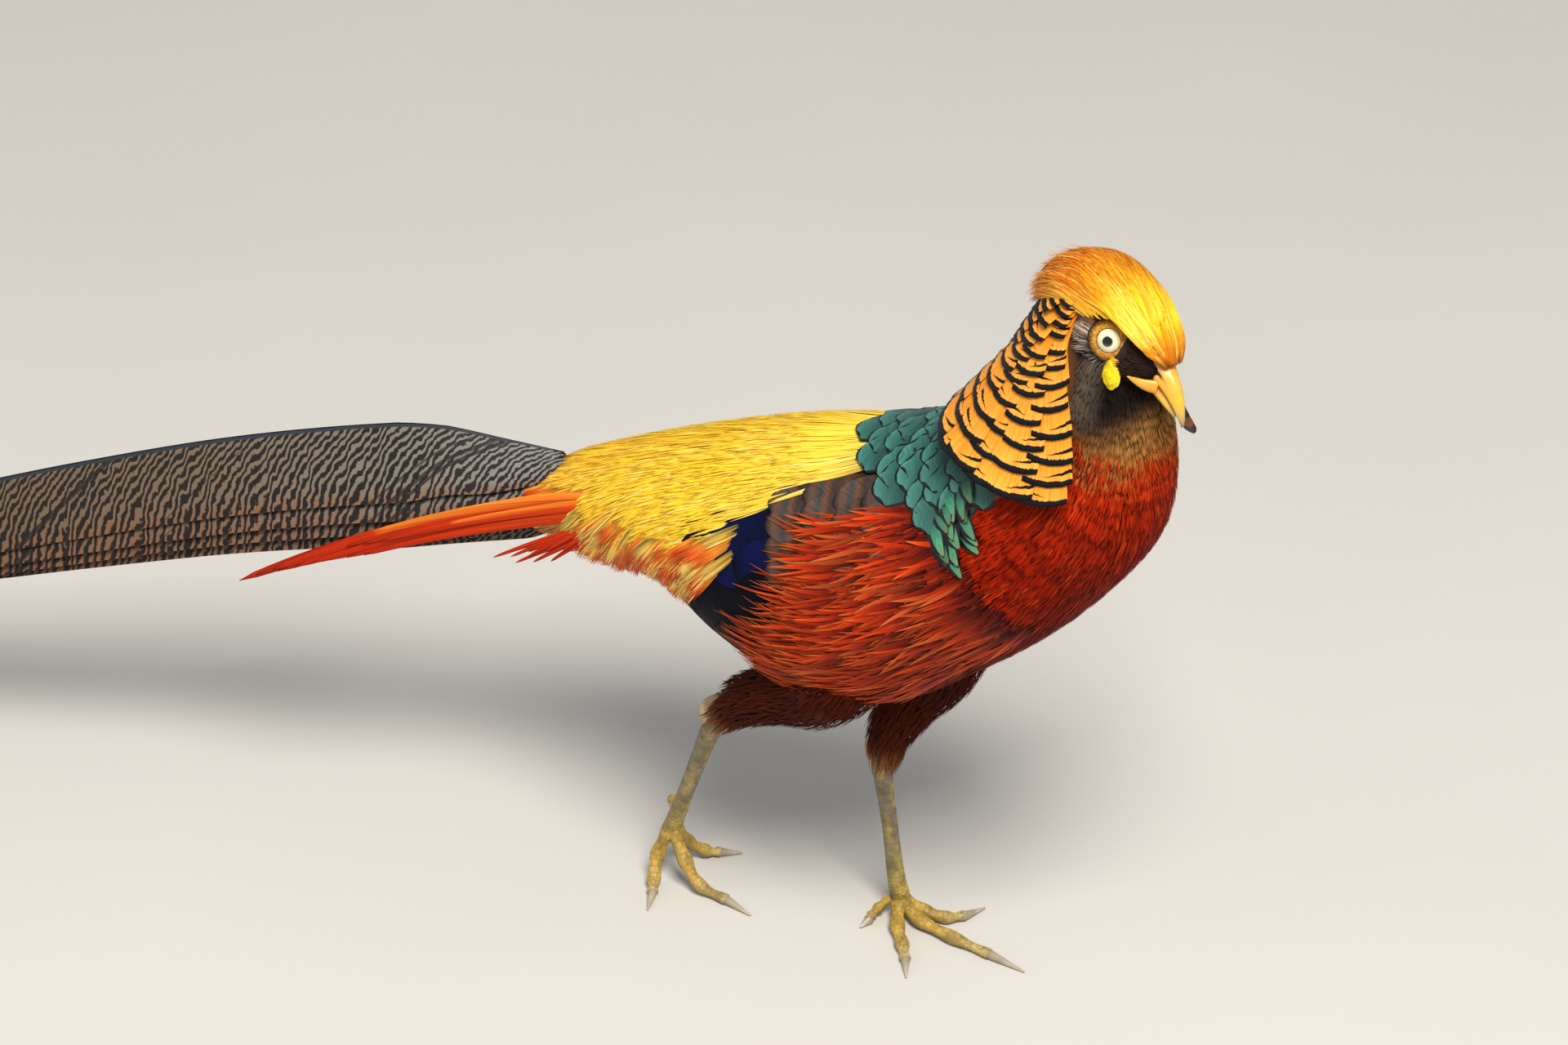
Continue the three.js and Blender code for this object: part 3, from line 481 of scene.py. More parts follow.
def tail_plume():
    """A wave of the distance along the feather less a lean for the distance from the ridge, bent
    by noise, is cut to bars. Tone carries the number of bars in the whole length."""
    finish, tree = new_finish("tail_feather_keratin")
    across, along, tone, pigment = vane_parts(tree)
    count = add(tree, "Math", (along, tone), operation="MULTIPLY")
    curve = add(tree, "Math", (across, 3.2, -9.5), operation="MULTIPLY_ADD")
    lean = add(tree, "Math", (across, curve, count), operation="MULTIPLY_ADD")
    spot = add(tree, "CombineXYZ", (count, across, 0.0))
    slow = add(tree, "TexNoise", {"Vector": spot, "Scale": 0.55, "Detail": 3.0})
    quick = add(tree, "CombineXYZ", (count, add(tree, "Math", (across, 9.0), operation="MULTIPLY"), 3.0))
    quick = add(tree, "TexNoise", {"Vector": quick, "Scale": 0.9, "Detail": 4.0})
    line = add(tree, "Math", (slow, 2.6, lean), operation="MULTIPLY_ADD")
    line = add(tree, "Math", (quick, 1.3, line), operation="MULTIPLY_ADD")
    cycle = add(tree, "Math", (line,), operation="FRACT")
    bar = add(tree, "ValToRGB", (cycle,),
              stops=[(0.0, 1.0), (0.08, 0.0), (0.52, 0.0), (0.62, 1.0), (1.0, 1.0)])
    color = add(tree, "Mix", {0: bar, 6: "#15110E", 7: pigment}, out=2, data_type="RGBA")
    split = add(tree, "Math", (across, -13.0, count), operation="MULTIPLY_ADD")
    split = add(tree, "CombineXYZ", (split, 0.0, 7.0))
    split = add(tree, "TexNoise", {"Vector": split, "Scale": 0.4, "Detail": 3.0})
    split = add(tree, "MapRange", {"Value": split, 1: 0.6, 2: 0.64, 3: 0.0, 4: 0.85})
    color = add(tree, "Mix", {0: split, 6: color, 7: "#14100D"}, out=2, data_type="RGBA")
    shaft = add(tree, "Math", (0.05, across), operation="SUBTRACT")
    shaft = add(tree, "Math", (shaft, 60.0), operation="MULTIPLY", use_clamp=True)
    color = add(tree, "Mix", {0: shaft, 6: color, 7: "#272C36"}, out=2, data_type="RGBA")
    close_finish(tree, color, bar, 0.05, Roughness=0.5, Specular_IOR_Level=0.3)
    return finish


tail_finish = tail_plume()
print("finishes", len(bpy.data.materials))

# %% [markdown]
# ## Skin, horn and eye finishes
# Bare skin is soft and full of small bumps. Horn, on bill, legs and claws, is harder and a little
# glossy, and light goes a short way into it. The eye is wet. They could be four unlike materials,
# but each is pigment from the mesh with grain of its own size, so one function makes them.

# %% Skin, horn and eye


def grained(name, grain_mm, dark, depth, **shader):
    """Pigment darkened by noise whose grain is a size in millimetres."""
    finish, tree = new_finish(name)
    spot = add(tree, "TexCoord", out=3)
    pigment = add(tree, "Attribute", attribute_name="pigment", out=0)
    grain = add(tree, "TexNoise", {"Vector": spot, "Scale": 1 / (grain_mm * MM), "Detail": 4.0})
    color = shaded(tree, pigment, grain, 0.3, 0.7, 1.0 - dark, 1.0 + dark * 0.3)
    close_finish(tree, color, grain, depth, **shader)
    return finish


body_skin = grained("skin_and_down", 2.5, 0.4, 0.2, Roughness=0.8)
bill_keratin = grained("bill_keratin", 3.0, 0.12, 0.05, Roughness=0.32, Specular_IOR_Level=0.5,
                       Subsurface_Weight=0.1, Subsurface_Scale=0.002)
leg_keratin = grained("leg_scale_keratin", 6.0, 0.5, 0.1, Roughness=0.45, Specular_IOR_Level=0.4)
claw_keratin = grained("claw_keratin", 5.0, 0.25, 0.05, Roughness=0.35, Specular_IOR_Level=0.5)
bare_skin = grained("bare_face_skin", 1.1, 0.55, 0.25, Roughness=0.5, Specular_IOR_Level=0.4)
wattle_flesh = grained("wattle_flesh", 1.6, 0.12, 0.3, Roughness=0.45, Specular_IOR_Level=0.4,
                       Subsurface_Weight=0.15, Subsurface_Scale=0.002)
wet_eye = grained("wet_eye", 0.9, 0.12, 0.0, Roughness=0.06, Specular_IOR_Level=0.6, Coat_Weight=1.0,
                  Coat_Roughness=0.02)
studio_paper = grained("matt_studio_paper", 300.0, 0.03, 0.0, Roughness=0.9)
print("finishes", len(bpy.data.materials))

# %% [markdown]
# ## From rings of points to meshes
# Every piece is rings of points. A ring joins the next by a strip of quads, and the first and last
# rings are closed. A feather could be a flat card with a picture on it, but it would have no body
# at its edge. Here each is a thin closed lens with a ridge where the shaft is, and all feathers of a
# tract are one array and one mesh.

# %% Meshes from rings


def strips(start, count, rings, around, loop):
    """Corner numbers and corner counts of the faces of many tubes of rings."""
    index = start + np.arange(count * rings * around).reshape(count, rings, around)
    after = np.roll(index, -1, axis=2)
    here, there = (index, np.roll(index, -1, axis=1)) if loop else (index[:, :-1], index[:, 1:])
    this, that = (after, np.roll(after, -1, axis=1)) if loop else (after[:, :-1], after[:, 1:])
    quads = np.stack([here, this, that, there], -1).reshape(-1, 4)
    if loop:
        return quads.ravel(), np.full(len(quads), 4)
    ends = np.concatenate([index[:, 0, ::-1], index[:, -1]])
    return (np.concatenate([quads.ravel(), ends.ravel()]),
            np.concatenate([np.full(len(quads), 4), np.full(len(ends), around)]))


def keep_pigment(mesh, colors):
    """Stores a linear colour for each point of a mesh, with an alpha of one."""
    full = np.concatenate([colors, np.ones((len(colors), 1))], 1).astype(np.float32)
    mesh.attributes.new("pigment", "FLOAT_COLOR", "POINT").data.foreach_set("color", full.ravel())


def made(name, points, faces, pigment, finish, stands_for, maps=(), tone=None):
    """A mesh object from arrays, with its maps and point values, named for its slot and nodes.
    Faces are pairs of corner numbers and of corner counts, one pair for each group of points."""
    corners, sizes = (np.concatenate(part) for part in zip(*faces))
    mesh = bpy.data.meshes.new(name)
    mesh.vertices.add(len(points))
    mesh.vertices.foreach_set("co", to_row(points).ravel())
    mesh.loops.add(len(corners))
    mesh.loops.foreach_set("vertex_index", corners)
    mesh.polygons.add(len(sizes))
    mesh.polygons.foreach_set("loop_start", np.cumsum(sizes) - sizes)
    mesh.polygons.foreach_set("use_smooth", np.ones(len(sizes), bool))
    mesh.update(calc_edges=True)
    for label, store in maps:
        mesh.uv_layers.new(name=label).data.foreach_set("uv", store[corners].ravel())
    if tone is not None:
        mesh.attributes.new("tone", "FLOAT", "POINT").data.foreach_set("value", tone)
    keep_pigment(mesh, pigment)
    mesh.materials.append(finish)
    piece = bpy.data.objects.new(name, mesh)
    bpy.context.scene.collection.objects.link(piece)
    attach(piece, "root")
    if stands_for:
        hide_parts(*stands_for)
    print(name, "triangles", int((sizes - 2).sum()))
    return piece


def solid(name, grids, finish, stands_for=(), loop=False):
    """Closed tubes, or closed loops of tube, from pairs of a grid of rings and its pigment."""
    points, shades, faces, start = [], [], [], 0
    for grid, shade in grids:
        rows, around = grid.shape[:2]
        faces.append(strips(start, 1, rows, around, loop))
        points.append(grid.reshape(-1, 3))
        shades.append(np.broadcast_to(shade, grid.shape).reshape(-1, 3))
        start += rows * around
    return made(name, np.vstack(points), faces, np.vstack(shades), finish, stands_for)


def rings_on(at, first, last, rows, around, height=0.0):
    """Rings round a form from one place to another, and their places and angles."""
    place = np.linspace(first, last, rows)[:, None] + np.zeros(around)
    angle = -(np.arange(around) * 360 / around)[None, :] + np.zeros((rows, 1))
    lift = height(place, angle) if callable(height) else height
    return at(place, angle, lift), place, angle


print("faces of a strand of 6 rings of 3:", len(strips(0, 1, 6, 3, False)[1]))

# %% [markdown]
# ## Laying feathers
# A feather grows from its root and lies back along the body, each over the next, like shingles. The
# function below walks from the root in small steps on the form, so a feather follows the body's
# curve, and lifts from low at its root to high at its tip. Long silky barbs are laid the same way.

# %% Laying feathers
# A ring is a pair: how far each point lies across, as a share of half the width, and how far up, as
# a share of the thickness.
FLAT_RING = (np.array([-1.0, 0.0, 1.0, 0.0]), np.array([0.0, 1.0, 0.0, -0.5]))
BROAD_RING = (np.array([-1.0, -0.55, 0.0, 0.55, 1.0, 0.0]), np.array([0.0, 0.55, 1.0, 0.55, 0.0, -0.6]))
SCALE_RING = (np.append(np.linspace(-1, 1, 7), 0.0), np.append(1 - np.linspace(-1, 1, 7)**2, -0.6))
HAIR_RING = (np.array([-1.0, 0.0, 1.0]), np.array([0.0, 1.0, 0.0]))


def laid(at, place, angle, length, width, low, high, outline, slant=0.0, bend=0.0, rings=6,
         ring=HAIR_RING, thick=0.15, bow=0.0, rise=1.0):
    """Feathers laid on a form. Each walks back from its root by its length, turned from straight
    back by slant, which changes by bend to the tip. At each share of the length it is as wide as
    the outline says, and lies from low to high over the form: the share to the power rise says how
    far it has risen. Bow pulls the edges back. Rings lie closer towards the tip."""
    s, a, length, width, low, high, slant, bend = (np.array(v, float) for v in np.broadcast_arrays(
        place, angle, length, width, low, high, slant, bend))
    shares = 1 - (1 - np.linspace(0, 1, rings)) ** 1.25
    marks, sizes = zip(*outline)
    across, up = ring
    root, points, path, last = np.stack([s, a], -1), [], [], 0.0
    for share in shares:
        per_place, per_degree = step_sizes(at, s, a)
        lead = np.radians(slant + bend * share)
        s = s - length * (share - last) * np.cos(lead) / per_place
        a = a + length * (share - last) * np.sin(lead) / per_degree
        last = share
        half = 0.5 * width * np.interp(share, marks, sizes)
        side = half[:, None] * across
        lag = -bow * width[:, None] * across**2 * share**2
        turn = lead[:, None]
        ring_s = s[:, None] + (side * np.sin(turn) - lag * np.cos(turn)) / per_place[:, None]
        ring_a = a[:, None] + (side * np.cos(turn) + lag * np.sin(turn)) / per_degree[:, None]
        body = up * thick * min(1.0, 0.25 + 1.5 * (1 - share))
        points.append(at(ring_s, ring_a, (low + (high - low) * share**rise)[:, None] + body))
        path.append(np.stack([s, a], -1))
    return {"points": np.stack(points, 1), "across": across, "along": shares, "root": root,
            "path": np.stack(path, 1)}


print("one place at the withers is", step_sizes(trunk, 7.0, 0.0)[0].round(1), "mm")

# %% [markdown]
# ## Where feathers stand
# Feathers stand in rows, like shingles. Roots at random would leave holes and clumps, so rows are
# laid one spacing apart and each root is then moved a little. A loose feather is not one root but a
# fan of them, one for each of its barbs.

# %% Rows and fans


def arc_length(points):
    """The length of a line of points: the sum of its steps."""
    return np.linalg.norm(np.diff(points, axis=0), axis=-1).sum()


def scattered(at, first, last, left, right, spacing, jitter=0.35):
    """Roots spread over a patch of a form as evenly as shingles: rows one spacing apart, every
    other row shifted by half a step, with a little disorder."""
    roots, place, row = [], first, 0
    while place < last:
        per_place = step_sizes(at, np.array([place]), np.array([(left + right) / 2]))[0][0]
        ring = at(place, np.linspace(left, right, 25))
        count = max(2, int(round(arc_length(ring) / spacing[1])))
        angles = left + (right - left) * (np.arange(count) + 0.25 + 0.5 * (row % 2)) / count
        roots.append(np.stack([np.full(count, place), angles], -1))
        place += spacing[0] / per_place
        row += 1
    roots = np.vstack(roots)
    per_place, per_degree = step_sizes(at, *roots.T)
    step = np.stack([spacing[0] / per_place, spacing[1] / per_degree], -1)
    roots = roots + rng.uniform(-jitter, jitter, roots.shape) * step
    return roots[:, 0], (roots[:, 1] + 180) % 360 - 180


def fans(at, place, angle, count, half):
    """Roots of the barbs of many feathers: x runs from -1 to 1 across each, and a barb starts x
    times half the vane's width beside the shaft. Also gives x and the feather's number."""
    x = np.tile(np.linspace(-1, 1, count), len(place))
    number = np.repeat(np.arange(len(place)), count)
    s, a = place[number], angle[number]
    return s, a + x * half / step_sizes(at, s, a)[1], x, number


print("barbs of two feathers", len(fans(trunk, np.array([8.0, 9.0]), np.array([180.0, 180.0]), 10, 3.8)[0]))

# %% [markdown]
# ## From feathers to a coat
# Thousands of feathers as objects of their own would be slow to draw and to keep, so all feathers of
# a tract go into one mesh. Each keeps its own coordinates for its finish, one tone that sets it off
# from its neighbours, and a patch of its own on a second map, to which the colours can be baked.

# %% Coats and their pigment


def picked(tuft, mask):
    """The feathers of a tuft that a mask picks out."""
    each = ("points", "root", "path", "pigment")
    return {key: value[mask] if key in each else value for key, value in tuft.items()}


def coat(name, tufts, finish, stands_for=(), patch=0.01):
    """One mesh from many tufts. The map Vane holds each feather's own coordinates. The map OFBake
    gives each a patch of its own at its root's place on an unwrap of the form it grows from. Edges
    that run along a feather's rim are marked sharp, so its two faces keep their own shading."""
    points, faces, vane, bake, tone, pigment, at_rim, start = [], [], [], [], [], [], [], 0
    roots = np.vstack([t["root"] for t in tufts])
    low, span = roots.min(0), np.ptp(roots, axis=0) + 1e-6
    for tuft in tufts:
        n, k, r = tuft["points"].shape[:3]
        faces.append(strips(start, n, k, r, False))
        x = np.broadcast_to(tuft["across"] * 0.5 + 0.5, (n, k, r))
        y = np.broadcast_to(tuft["along"][None, :, None], (n, k, r))
        keel = np.broadcast_to((np.arange(r) == r - 1) & (r > 3), (n, k, r)) * 0.03
        place = (tuft["root"] - low) / span
        size = tuft.get("patch", patch)
        u = place[:, 1, None, None] * (1 - size) + size * x
        v = place[:, 0, None, None] * (1 - size) + size * (0.03 + 0.94 * y - keel)
        points.append(tuft["points"].reshape(-1, 3))
        vane.append(np.stack([x, y], -1).reshape(-1, 2))
        bake.append(np.stack([u, v], -1).reshape(-1, 2))
        tones = tuft.get("tone", rng.uniform(0, 1, n))
        tone.append(np.repeat(np.broadcast_to(tones, (n,)), k * r))
        pigment.append(np.broadcast_to(tuft["pigment"], (n, k, r, 3)).reshape(-1, 3))
        at_rim.append(np.tile(np.abs(tuft["across"]) > 0.99, n * k))
        start += n * k * r
    piece = made(name, np.vstack(points), faces, np.vstack(pigment), finish, stands_for,
                 maps=[("Vane", np.vstack(vane)), ("OFBake", np.vstack(bake))],
                 tone=np.concatenate(tone).astype(np.float32))
    pairs = np.zeros(len(piece.data.edges) * 2, np.int64)
    piece.data.edges.foreach_get("vertices", pairs)
    pairs = pairs.reshape(-1, 2)
    between_rings = np.abs(np.diff(pairs, axis=1))[:, 0] > 2
    crisp = np.concatenate(at_rim)[pairs].all(1) & between_rings
    piece.data.attributes.new("sharp_edge", "BOOLEAN", "EDGE").data.foreach_set("value", crisp)
    return piece


def tinted(tuft, color, root=0.45, tip=1.0, vary=0.12, tones=None):
    """Gives a tuft its pigment: a colour for each ring, darker in the down at the root, changed by
    a factor at the tip, and a little lighter or darker from one feather to the next."""
    n, k = tuft["path"].shape[:2]
    along = tuft["along"][None, :]
    run = root + (1 - root) * np.clip(along / 0.45, 0, 1)
    run = run * (1 + (tip - 1) * np.clip((along - 0.8) / 0.15, 0, 1))
    tones = rng.uniform(-1, 1, n) if tones is None else tones
    factor = run * (1 + vary * tones[:, None])
    tuft["pigment"] = (np.broadcast_to(color, (n, k, 3)) * factor[..., None])[:, :, None, :]
    return tuft


sample = tinted({"path": np.zeros((1, 3, 2)), "along": np.linspace(0, 1, 3)}, 1.0, tones=np.zeros(1))
print("pigment left at root, middle and tip", sample["pigment"].ravel()[::3])

# %% [markdown]
# ## Legs as paths
# The right leg is behind with its heel raised, and the left stands flat in front. A leg could be
# sections like the trunk, but it bends too sharply for them, so each part is a tube round a path.

# %% Paths of the legs
# For each leg: the path of the thigh and its half widths, the heel at the hock, the shank, and for
# each toe its path from the ball of the foot to the claw's point.
LEGS = {
    "right": {
        "thigh": [[7, -24, 163], [-14, -26, 135], [-38, -23, 121], [-60, -18, 106], [-73, -16, 92]],
        "thick": [[17, 21], [18, 18], [13, 13.5], [9.5, 11], [5.6, 7]],
        "hock": [[-77, -16, 86], [-78, -16, 95], [-72, -16, 104]],
        "shank": [[-73, -16, 94], [-78, -16, 82], [-87, -16, 56], [-95, -15.5, 33], [-98, -15, 25]],
        "outer": [[-98, -17, 25], [-102, -20, 13], [-100, -27, 4.3], [-97, -33, 2.3], [-93, -44, 0.8]],
        "middle": [[-96, -16, 25], [-88, -20, 14], [-80, -21, 4.3], [-66, -22, 2.3], [-52, -25, 0.8]],
        "inner": [[-97, -13, 25], [-97, -3, 11], [-92, 4, 3.5], [-87, 8, 2.1], [-79, 14, 0.8]],
        "hind": [[-97, -12, 30], [-101, -7, 32], [-104, -3, 31], [-106, -1, 29], [-108, 2, 25]],
    },
    "left": {
        "thigh": [[27, 22, 166], [14, 20, 128], [4, 16, 109], [-4, 12, 92], [-6, 10, 78]],
        "thick": [[18, 22], [16, 18], [12, 13], [9, 10], [5.6, 7]],
        "hock": [[-8, 10, 74], [-10.5, 10, 83], [-7, 10, 92]],
        "shank": [[-7, 10, 82], [-6, 10, 70], [-3, 11, 45], [0, 11.5, 19], [2, 12, 8]],
        "outer": [[3, 12, 7], [14, 12, 3.9], [24, 14, 2.7], [30, 20, 2.1], [34, 31, 0.8]],
        "middle": [[5, 9, 7], [16, 5, 3.9], [34, 2, 2.9], [53, 0, 2.3], [71, -2, 0.8]],
        "inner": [[4, 7, 7], [9, -3, 3.7], [17, -13, 2.7], [23, -21, 2.1], [29, -31, 0.8]],
        "hind": [[-1, 8, 8], [-4, 3, 4.3], [-5, -1, 2.7], [-5, -4, 1.9], [-6, -9, 1]],
    },
}
thighs = {word: tube(leg["thigh"][::-1], leg["thick"][::-1]) for word, leg in LEGS.items()}
print("heels at", {word: leg["hock"][1] for word, leg in LEGS.items()})

# %% [markdown]
# ## One skin under the coat
# Under the feathers lies one skin, so that no gap shows anything but skin. It could be lofts that
# cross each other, but their seams would show in other views. Here the trunk, the skull and the
# thighs are joined by a voxel remesh into one closed surface, 2.5 mm fine, and smoothed. Each point
# is given the pigment of the nearest place on the trunk, so skin and coat carry the same marks.

# %% Skin
SKIN_FINE = 2.5
lofts = [(trunk, (-0.1, 12.2, 90, 64, -1.5)), (skull, (0.0, 6.3, 40, 48, -0.6)),
         (thighs["right"], (0.0, 4.0, 40, 32, -1.5)), (thighs["left"], (0.0, 4.0, 40, 32, -1.5))]
rough_skin = solid("skin", [(rings_on(at, *span)[0], 0.5) for at, span in lofts], body_skin,
                   ("torso", "neck", "head", "thigh_left", "thigh_right"))
remesh = rough_skin.modifiers.new("one_surface", "REMESH")
remesh.mode, remesh.voxel_size, remesh.use_smooth_shade = "VOXEL", SKIN_FINE * MM, True
smooth = rough_skin.modifiers.new("smooth", "SMOOTH")
smooth.factor, smooth.iterations = 0.5, 8
dressed = rough_skin.evaluated_get(bpy.context.evaluated_depsgraph_get())
whole = bpy.data.meshes.new_from_object(dressed)
rough_skin.modifiers.clear()
rough_skin.data = whole
whole.materials.clear()
whole.materials.append(body_skin)
spots = np.zeros(len(whole.vertices) * 3)
whole.vertices.foreach_get("co", spots)
spots = spots.reshape(-1, 3) / MM + ORIGIN
grid_place, grid_angle = (
    v.ravel() for v in np.meshgrid(np.linspace(0, 12.2, 62), np.arange(-180, 180, 8.0)))
marks = trunk(grid_place, grid_angle)
nearest = np.concatenate([
    ((part[:, None] - marks[None]) ** 2).sum(-1).argmin(1) for part in np.array_split(spots, 40)])
shades = body_pigment(grid_place[nearest], grid_angle[nearest]) * 0.6
in_head = (spots - HEAD_AT) @ HEAD_TURN
shades = over(shades, "#1C1410", near(np.linalg.norm(in_head * [0.7, 1, 1], axis=1), -9, 19, 3))
shades = over(shades, "#3A160B", near(spots[:, 2], -9, 122, 8))
keep_pigment(whole, shades)
print("skin points", len(spots))

# %% [markdown]
# ## Breast and belly
# The scarlet feathers of the breast have loose ends, so the eye sees fine hair in soft scallops.
# Whole vanes would look like plates. So each feather here is a fan of ten fine barbs, which part
# from the shaft and bend back in. The barbs darken at their roots and very tips, which draws the
# scallops: partly their own colour, partly painted shade between the strands.
# The tract is laid at once and made in two pieces, to keep each mesh small.

# %% Breast
BREAST_BARBS = 10
LOOSE = ((0, 0.5), (0.4, 1), (0.8, 0.8), (1, 0.12))
place, angle = scattered(trunk, 2.6, 10.9, 62, 298, (6.2, 6.8))
under_wing = (place < 7.6) & (np.abs(angle) < 60)
under_cape = (place > 8) & (np.abs(angle) < 64)
under_rump = (place < 5.0) & (np.abs(angle) < 128)
keep = ~(under_wing | under_cape | under_rump)
place, angle = place[keep], angle[keep]
s, a, x, number = fans(trunk, place, angle, BREAST_BARBS, 3.8)
feather_tone = rng.uniform(-1, 1, len(place))
lead = rng.uniform(-5, 5, len(place))
size = rng.uniform(18, 22, len(place)) * np.interp(place, [8, 11], [1, 0.75])
n = len(s)
breast = laid(trunk, s, a, size[number] * (1 - 0.2 * x**2), rng.uniform(0.85, 1.2, n), 0.0,
              1.3 + 0.5 * (1 - x**2) + rng.uniform(0, 0.4, n), LOOSE,
              slant=x * 9 + lead[number] + rng.uniform(-3, 3, n), bend=-5 * x, rings=5)
tones = 0.5 * feather_tone[number] + rng.uniform(-0.9, 0.9, n)
red = body_pigment(breast["path"][..., 0], breast["path"][..., 1])
# About one barb in seven is lighter: a painted highlight.
red = over(red, "#C43E0C", (rng.uniform(0, 1, n) < 0.14)[:, None] * 0.5 * np.ones(5))
# Dark roots and tips: partly the barbs' own colour, partly painted shade between the strands.
tinted(breast, red, root=0.25, tip=0.4, vary=0.32, tones=tones)
front = s > 7.4
for word, part in (("breast_feathers", front), ("belly_feathers", ~front)):
    coat(word, [picked(breast, part)], scarlet_plume, patch=0.006)

# %% [markdown]
# ## Under the tail
# Behind the legs the feathers are longer, duller and softer. They could be left to the skin's
# colour, but the outline under the tail is theirs, so they are fans of seven barbs too.

# %% Undertail
place, angle = scattered(trunk, 0.1, 3.6, 95, 265, (6.0, 6.0))
s, a, x, number = fans(trunk, place, angle, 7, 3.0)
n = len(s)
vent = laid(trunk, s, a, rng.uniform(20, 28, len(place))[number] * (1 - 0.2 * x**2), 1.5, 0.0,
            1.0 + 1.2 * (1 - x**2) + rng.uniform(0, 0.5, n), LOOSE, slant=18 * x, bend=-14 * x, rings=5)
tinted(vent, body_pigment(vent["path"][..., 0], vent["path"][..., 1]), vary=0.25)
coat("vent_feathers", [vent], down_plume, patch=0.008)

# %% [markdown]
# ## Throat
# Between the chin and the scarlet breast the feathers are golden brown. Each has a dark tip, and
# the rows of tips make about five wavy bars. A dark tip on each of these small feathers would fall
# out of line, so the bars are worked out from the place of each point along the neck.

# %% Throat
BAR_STEP = 0.2  # in places along the trunk
place, angle = scattered(trunk, 10.2, 12.4, 62, 298, (4.4, 4.2), jitter=0.3)
s, a, x, number = fans(trunk, place, angle, 7, 2.0)
n = len(s)
throat = laid(trunk, s, a, rng.uniform(9, 11, len(place))[number] * (1 - 0.15 * x**2),
              rng.uniform(0.6, 0.9, n), 0.3, 1.3 + 0.5 * (1 - x**2) + rng.uniform(0, 0.3, n),
              ((0, 0.5), (0.4, 1), (0.8, 0.8), (1, 0.15)), slant=10 * x + rng.uniform(-4, 4, n),
              bend=-6 * x, rings=8)
low = from_back(throat["path"][..., 1])
place = throat["path"][..., 0] + 0.35 - 0.8 * np.clip((low - 100) / 70, 0, 1)
gold = run_of([(9.6, "#B0300A"), (9.95, "#AC3A0E"), (10.2, "#A0642C"), (10.65, "#946632"),
               (10.95, "#684628"), (11.15, "#35261B"), (11.4, "#1C1410"), (12.4, "#15100D")], place)
wave = place + 0.05 * np.sin(low * 0.09 + 2) + 0.03 * np.sin(low * 0.33)
wave = wave + rng.normal(0, 0.022, n)[:, None]
bars = np.clip(np.cos(2 * np.pi * wave / BAR_STEP) * 1.5 - 0.3, 0, 1) * near(place, 10.15, 11.1, 0.2)
gold = over(gold, "#2E1E12", bars * (0.6 + 0.25 * np.sin(low * 0.21 + place * 9)))
gold = over(gold, "#685A4E", near(place, 11.1, 99, 0.3) * near(low, -9, 98, 34))
tinted(throat, gold, root=0.55, tip=0.7, vary=0.2)
coat("throat_feathers", [throat], down_plume, patch=0.01)

# %% [markdown]
# ## Cape
# The cape is a fan of square amber feathers in twelve tiers about 8 mm apart. It could be one barred
# sheet, but the ragged steps where one feather ends over the next are what the eye knows it by. Each
# tier is as wide as the cape is there, and its outer feathers end a little further forward. On the
# left the turned head pushes the cape's lower corner forward, so it stands clear of the throat.

# %% Cape
CAPE_TIERS = 12
CAPE_FIRST, CAPE_RUN = 5.0, 4.2  # the place where the top tier ends, and how far down the last does


def cape_reach(place, side):
    """How far round the cape's free edge lies, in degrees: further low on the left."""
    edge = np.interp(place, [0.3, 1.3, 2.4, 3.0, 3.8, 4.25, 5.25], [122, 122, 117, 113, 94, 86, 78])
    return edge + 36 * near(place, 0.2, 1.6, 0.7) * np.clip(side * 5, 0, 1)


tufts = []
for tier in range(CAPE_TIERS):
    share = tier / (CAPE_TIERS - 1)
    ends = CAPE_FIRST - CAPE_RUN * (0.75 * share + 0.25 * share**2)
    length = 15 + 11 * share
    arc = arc_length(cape_form(ends + 1, np.linspace(-100, 100, 40))) * cape_reach(ends, 0) / 100
    count = int(round(arc / (8.5 + 5 * share))) + tier % 2
    wide = arc / (count - tier % 2) * 1.6
    side = np.linspace(-1, 1, count) * (1 - 0.86 * wide / arc)
    outer = np.clip((np.abs(side) - 0.35) / 0.65, 0, 1)
    tips = ends + 0.42 * outer * share**4 + rng.uniform(-0.03, 0.03, count)
    root = tips + length / step_sizes(cape_form, tips + 0.5, side * 60)[0]
    start, end = side * (cape_reach(root, side) - 7), side * (cape_reach(tips, side) + 1.5)
    per_degree = step_sizes(cape_form, (root + tips) / 2, start)[1]
    lead = np.degrees(np.arctan2((end - start) * per_degree, length))
    low_corner = 5.0 * near(tips, 0.3, 1.4, 0.4) * np.clip(side * 5 - 4, 0, 1)
    nape = 4.0 * near(tips, 3.3, 4.9, 1.2) * near(np.abs(side), -1, 0.5, 0.5)
    tuft = laid(cape_form, root, start, length, wide, -3.6 - 7 * near(root, 4.9, 99, 0.9),
                0.4 + (np.arange(count) % 2) * 0.45 + low_corner + nape,
                ((0, 0.45), (0.4, 0.84), (0.85, 0.98), (1, 1)), slant=lead + rng.uniform(-2, 2, count),
                rings=9, ring=BROAD_RING, thick=0.4, bow=0.09, rise=0.8)
    amber = run_of([(0, "#C06A14"), (0.45, "#EA8E20"), (0.75, "#F59E2C"), (1, "#FAB04A")],
                   tuft["along"])[None]
    tufts.append(tinted(tuft, amber, root=0.9, vary=0.07))
coat("cape_feathers", tufts, cape_finish, ("cape",), patch=0.05)

# %% [markdown]
# ## Down under the cape
# Under the cape's feathers lies brown down, which closes the gaps between them. A coat of hair would
# never be seen, so it is one smooth form, sunk deeper past the cape's edge to end out of sight.

